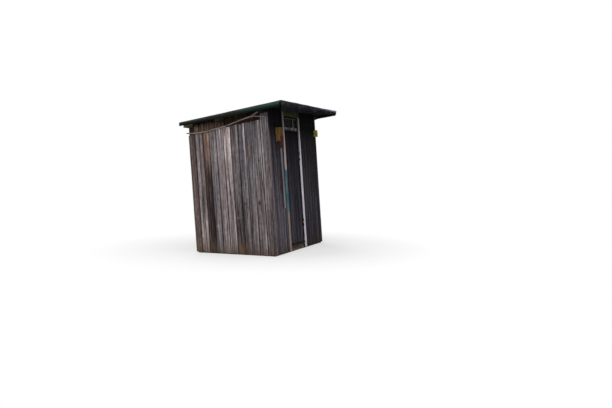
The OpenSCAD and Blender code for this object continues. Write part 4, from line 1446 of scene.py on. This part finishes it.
class OUTHOUSE_OT_ironwork(bpy.types.Operator):
    """Hinges, handle and nails"""
    bl_idname = "outhouse.ironwork"
    bl_label = "Ironwork"

    def execute(self, context):
        iron = rusty_iron("rusty_black_iron")
        for node in ("hinge_frame_plates", "hinge_door_plates", "door_handle", "pole_nails"):
            coat(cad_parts[node], iron)
        deselect()
        head_r, head_h = 0.0042, 0.003
        bpy.ops.mesh.primitive_cylinder_add(vertices=10, radius=head_r, depth=head_h)
        head = bpy.context.object
        soften(head, 0.0009)
        shape = corners(head)
        rng = np.random.RandomState(139)

        def nails(name, body, facing, centres):
            """Nail heads at centres on a face."""
            side = np.cross(facing, (0.0, 0.0, 1.0))
            side /= np.linalg.norm(side)
            turned = shape[:, :1] * side + shape[:, 1:2] * np.cross(facing, side) + shape[:, 2:] * facing
            parts = []
            for centre in centres:
                nail = own_copy(head, "nail")
                set_corners(nail, np.array(centre) + turned)
                parts.append(nail)
            piece = join(parts, name)
            outward(piece)
            put(piece, body, "iron", iron)

        def rows(edges, heights):
            """Places of nails, one or two for each board and height, a little out of line."""
            for start, end in zip(edges[:-1], edges[1:]):
                for z in heights:
                    for share in ((0.25, 0.75) if end - start > 0.08 else (0.5,)):
                        x = start + (end - start) * share + rng.uniform(-0.006, 0.006)
                        yield x, z + rng.uniform(-0.012, 0.012)

        # Heights of the nails: at the sills and the rails, under the side boards' tops and near the plates
        low, middle, under_top, rear_high, front_high = 0.055, 1.045, 0.035, 1.98, 2.09
        # Heights of the door's nails, at its ledges, and the room kept clear for its hinges
        ledges, hinge_room = (0.345, 1.69), 0.04
        # How deep the middle of a head lies in the boards
        sunk, front_sunk = 0.0005, 0.0008
        for name, side, edges in (("left_wall_nails", -1, LEFT_EDGES),
                                  ("right_wall_nails", 1, right_edges()[0])):
            places = list(rows((0.0, *edges), (low, middle)))
            places += [(y, side_top(y) - under_top) for y, _ in rows(edges, (0.0,))]
            nails(name, "hut", np.array((side, 0.0, 0.0)),
                  [(side * (HALF_W - sunk), FRONT_Y + y + z * SLOPE, z) for y, z in places])
        lean = np.array((0.0, math.cos(LEAN), -math.sin(LEAN)))
        nails("rear_wall_nails", "hut", lean, [(x, REAR_Y - sunk + z * SLOPE, z)
                                               for x, z in rows(rear_edges()[0], (low, middle, rear_high))])
        left, right = (-INNER_X, -0.86, -0.73, -0.59), (0.27, 0.39, 0.51, 0.63, 0.75, 0.87, INNER_X)
        places = [place for edges in (left, right) for place in rows(edges, (low, middle, front_high))]
        nails("front_wall_nails", "hut", -lean, [(x, FRONT_Y + front_sunk + z * SLOPE, z) for x, z in places])
        edges = door_edges()
        edges[-1] -= hinge_room
        where = on_door(0.0, DOOR_IN + sunk)
        nails("door_nails", "door", -lean, [where(x, 0.0, up(z)) for x, z in rows(edges, ledges)])
        bpy.data.objects.remove(head)
        return {"FINISHED"}


class OUTHOUSE_OT_stage(bpy.types.Operator):
    """Floor, light and the camera at the photograph's angle"""
    bl_idname = "outhouse.stage"
    bl_label = "Stage"

    def execute(self, context):
        deselect()
        bpy.ops.mesh.primitive_plane_add(size=60.0, location=(0.0, 0.0, 0.0))
        ground = bpy.context.object
        ground.name = "stage_floor"
        f = new_finish("pale_floor")
        far = f.vector("LENGTH", f.place()).outputs["Value"]
        pale = f.blend(f.noise(f.place(), 3.0, 3.0), (0.80, 0.80, 0.79), (0.84, 0.84, 0.83))
        plain = f.add("ShaderNodeBsdfDiffuse", {"Color": pale}).outputs[0]
        white = f.add("ShaderNodeEmission", {"Color": WHITE, "Strength": 1.0}).outputs[0]
        # To the camera the floor fades into white, and keeps the shadow near the building
        seen = f.times(f.add("ShaderNodeLightPath").outputs["Is Camera Ray"], f.span(far, 1.3, 2.9, 0.5, 1.0))
        shown = f.add("ShaderNodeMixShader", {0: seen, 1: plain, 2: white}).outputs[0]
        f.add("ShaderNodeOutputMaterial", {"Surface": shown})
        ground.data.materials.append(f.owner)

        context.scene.world = context.scene.world or bpy.data.worlds.new("World")
        f = Nodes(context.scene.world)
        path = f.add("ShaderNodeLightPath").outputs
        seen = f.maths("MAXIMUM", path["Is Glossy Ray"], path["Is Transmission Ray"])
        seen = f.maths("MAXIMUM", path["Is Camera Ray"], seen)
        soft = f.add("ShaderNodeBackground", {"Color": (0.93, 0.96, 1.0, 1.0), "Strength": 0.55}).outputs[0]
        white = f.add("ShaderNodeBackground", {"Color": WHITE, "Strength": 1.0}).outputs[0]
        shown = f.add("ShaderNodeMixShader", {0: seen, 1: soft, 2: white}).outputs[0]
        f.add("ShaderNodeOutputWorld", {"Surface": shown})

        for name, place, tilt, heading, size, power in (
                ("key_light", (-7.5, -1.0, 5.0), 58, -82, 4.5, 400.0),
                ("fill_light", (-1.0, -8.0, 4.5), 62, -8, 5.0, 60.0),
                ("back_light", (6.5, 5.0, 5.0), 58, 128, 4.5, 260.0)):
            turn = (math.radians(tilt), 0.0, math.radians(heading))
            bpy.ops.object.light_add(type="AREA", location=place, rotation=turn)
            lamp = bpy.context.object
            lamp.name = name
            lamp.data.size = size
            lamp.data.energy = power
            lamp.data.color = (1.0, 0.98, 0.95)

        # The camera as it was fitted to the photograph, 612 pixels wide
        focal_pixels, picture_width, pitch, heading = 700.0, 612.0, 3.605, -68.461
        turn = (math.radians(90 - pitch), 0.0, math.radians(heading))
        bpy.ops.object.camera_add(location=(-10.764, -5.026, 1.484), rotation=turn)
        camera = bpy.context.object
        camera.name = "photo_camera"
        camera.data.sensor_width = 36.0
        camera.data.lens = focal_pixels / picture_width * camera.data.sensor_width
        context.scene.camera = camera
        context.scene.view_settings.view_transform = "Standard"
        return {"FINISHED"}


STEPS = (
    OUTHOUSE_OT_stage, OUTHOUSE_OT_left_wall, OUTHOUSE_OT_right_wall, OUTHOUSE_OT_corner_boards,
    OUTHOUSE_OT_rear_wall, OUTHOUSE_OT_front_wall, OUTHOUSE_OT_gables, OUTHOUSE_OT_frame, OUTHOUSE_OT_floor,
    OUTHOUSE_OT_casing, OUTHOUSE_OT_window, OUTHOUSE_OT_door, OUTHOUSE_OT_roof_boards, OUTHOUSE_OT_felt,
    OUTHOUSE_OT_pole, OUTHOUSE_OT_fittings, OUTHOUSE_OT_ironwork,
)


class OUTHOUSE_PT_panel(bpy.types.Panel):
    """Lists the settings and the steps of the outhouse"""
    bl_idname = "OUTHOUSE_PT_panel"
    bl_label = "Outhouse"
    bl_space_type = "VIEW_3D"
    bl_region_type = "UI"
    bl_category = "Outhouse"

    def draw(self, context):
        column = self.layout.column()
        for group in (context.scene.outhouse_boards, context.scene.outhouse_colours):
            for key in group.__annotations__:
                column.prop(group, key)
        for step in STEPS:
            column.operator(step.bl_idname)


CLASSES = (OuthouseBoards, OuthouseColours) + STEPS + (OUTHOUSE_PT_panel,)


def register():
    """Makes the settings, the operators and the panel known."""
    for item in CLASSES:
        bpy.utils.register_class(item)
    bpy.types.Scene.outhouse_boards = bpy.props.PointerProperty(type=OuthouseBoards)
    bpy.types.Scene.outhouse_colours = bpy.props.PointerProperty(type=OuthouseColours)


def unregister():
    """Takes back what register made known."""
    del bpy.types.Scene.outhouse_colours
    del bpy.types.Scene.outhouse_boards
    for item in reversed(CLASSES):
        bpy.utils.unregister_class(item)


def main():
    """Registers the add-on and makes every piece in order."""
    register()
    for step in STEPS:
        group, name = step.bl_idname.split(".")
        getattr(getattr(bpy.ops, group), name)()
    drop_patterns()
    deselect()


if __name__ == "__main__":
    main()
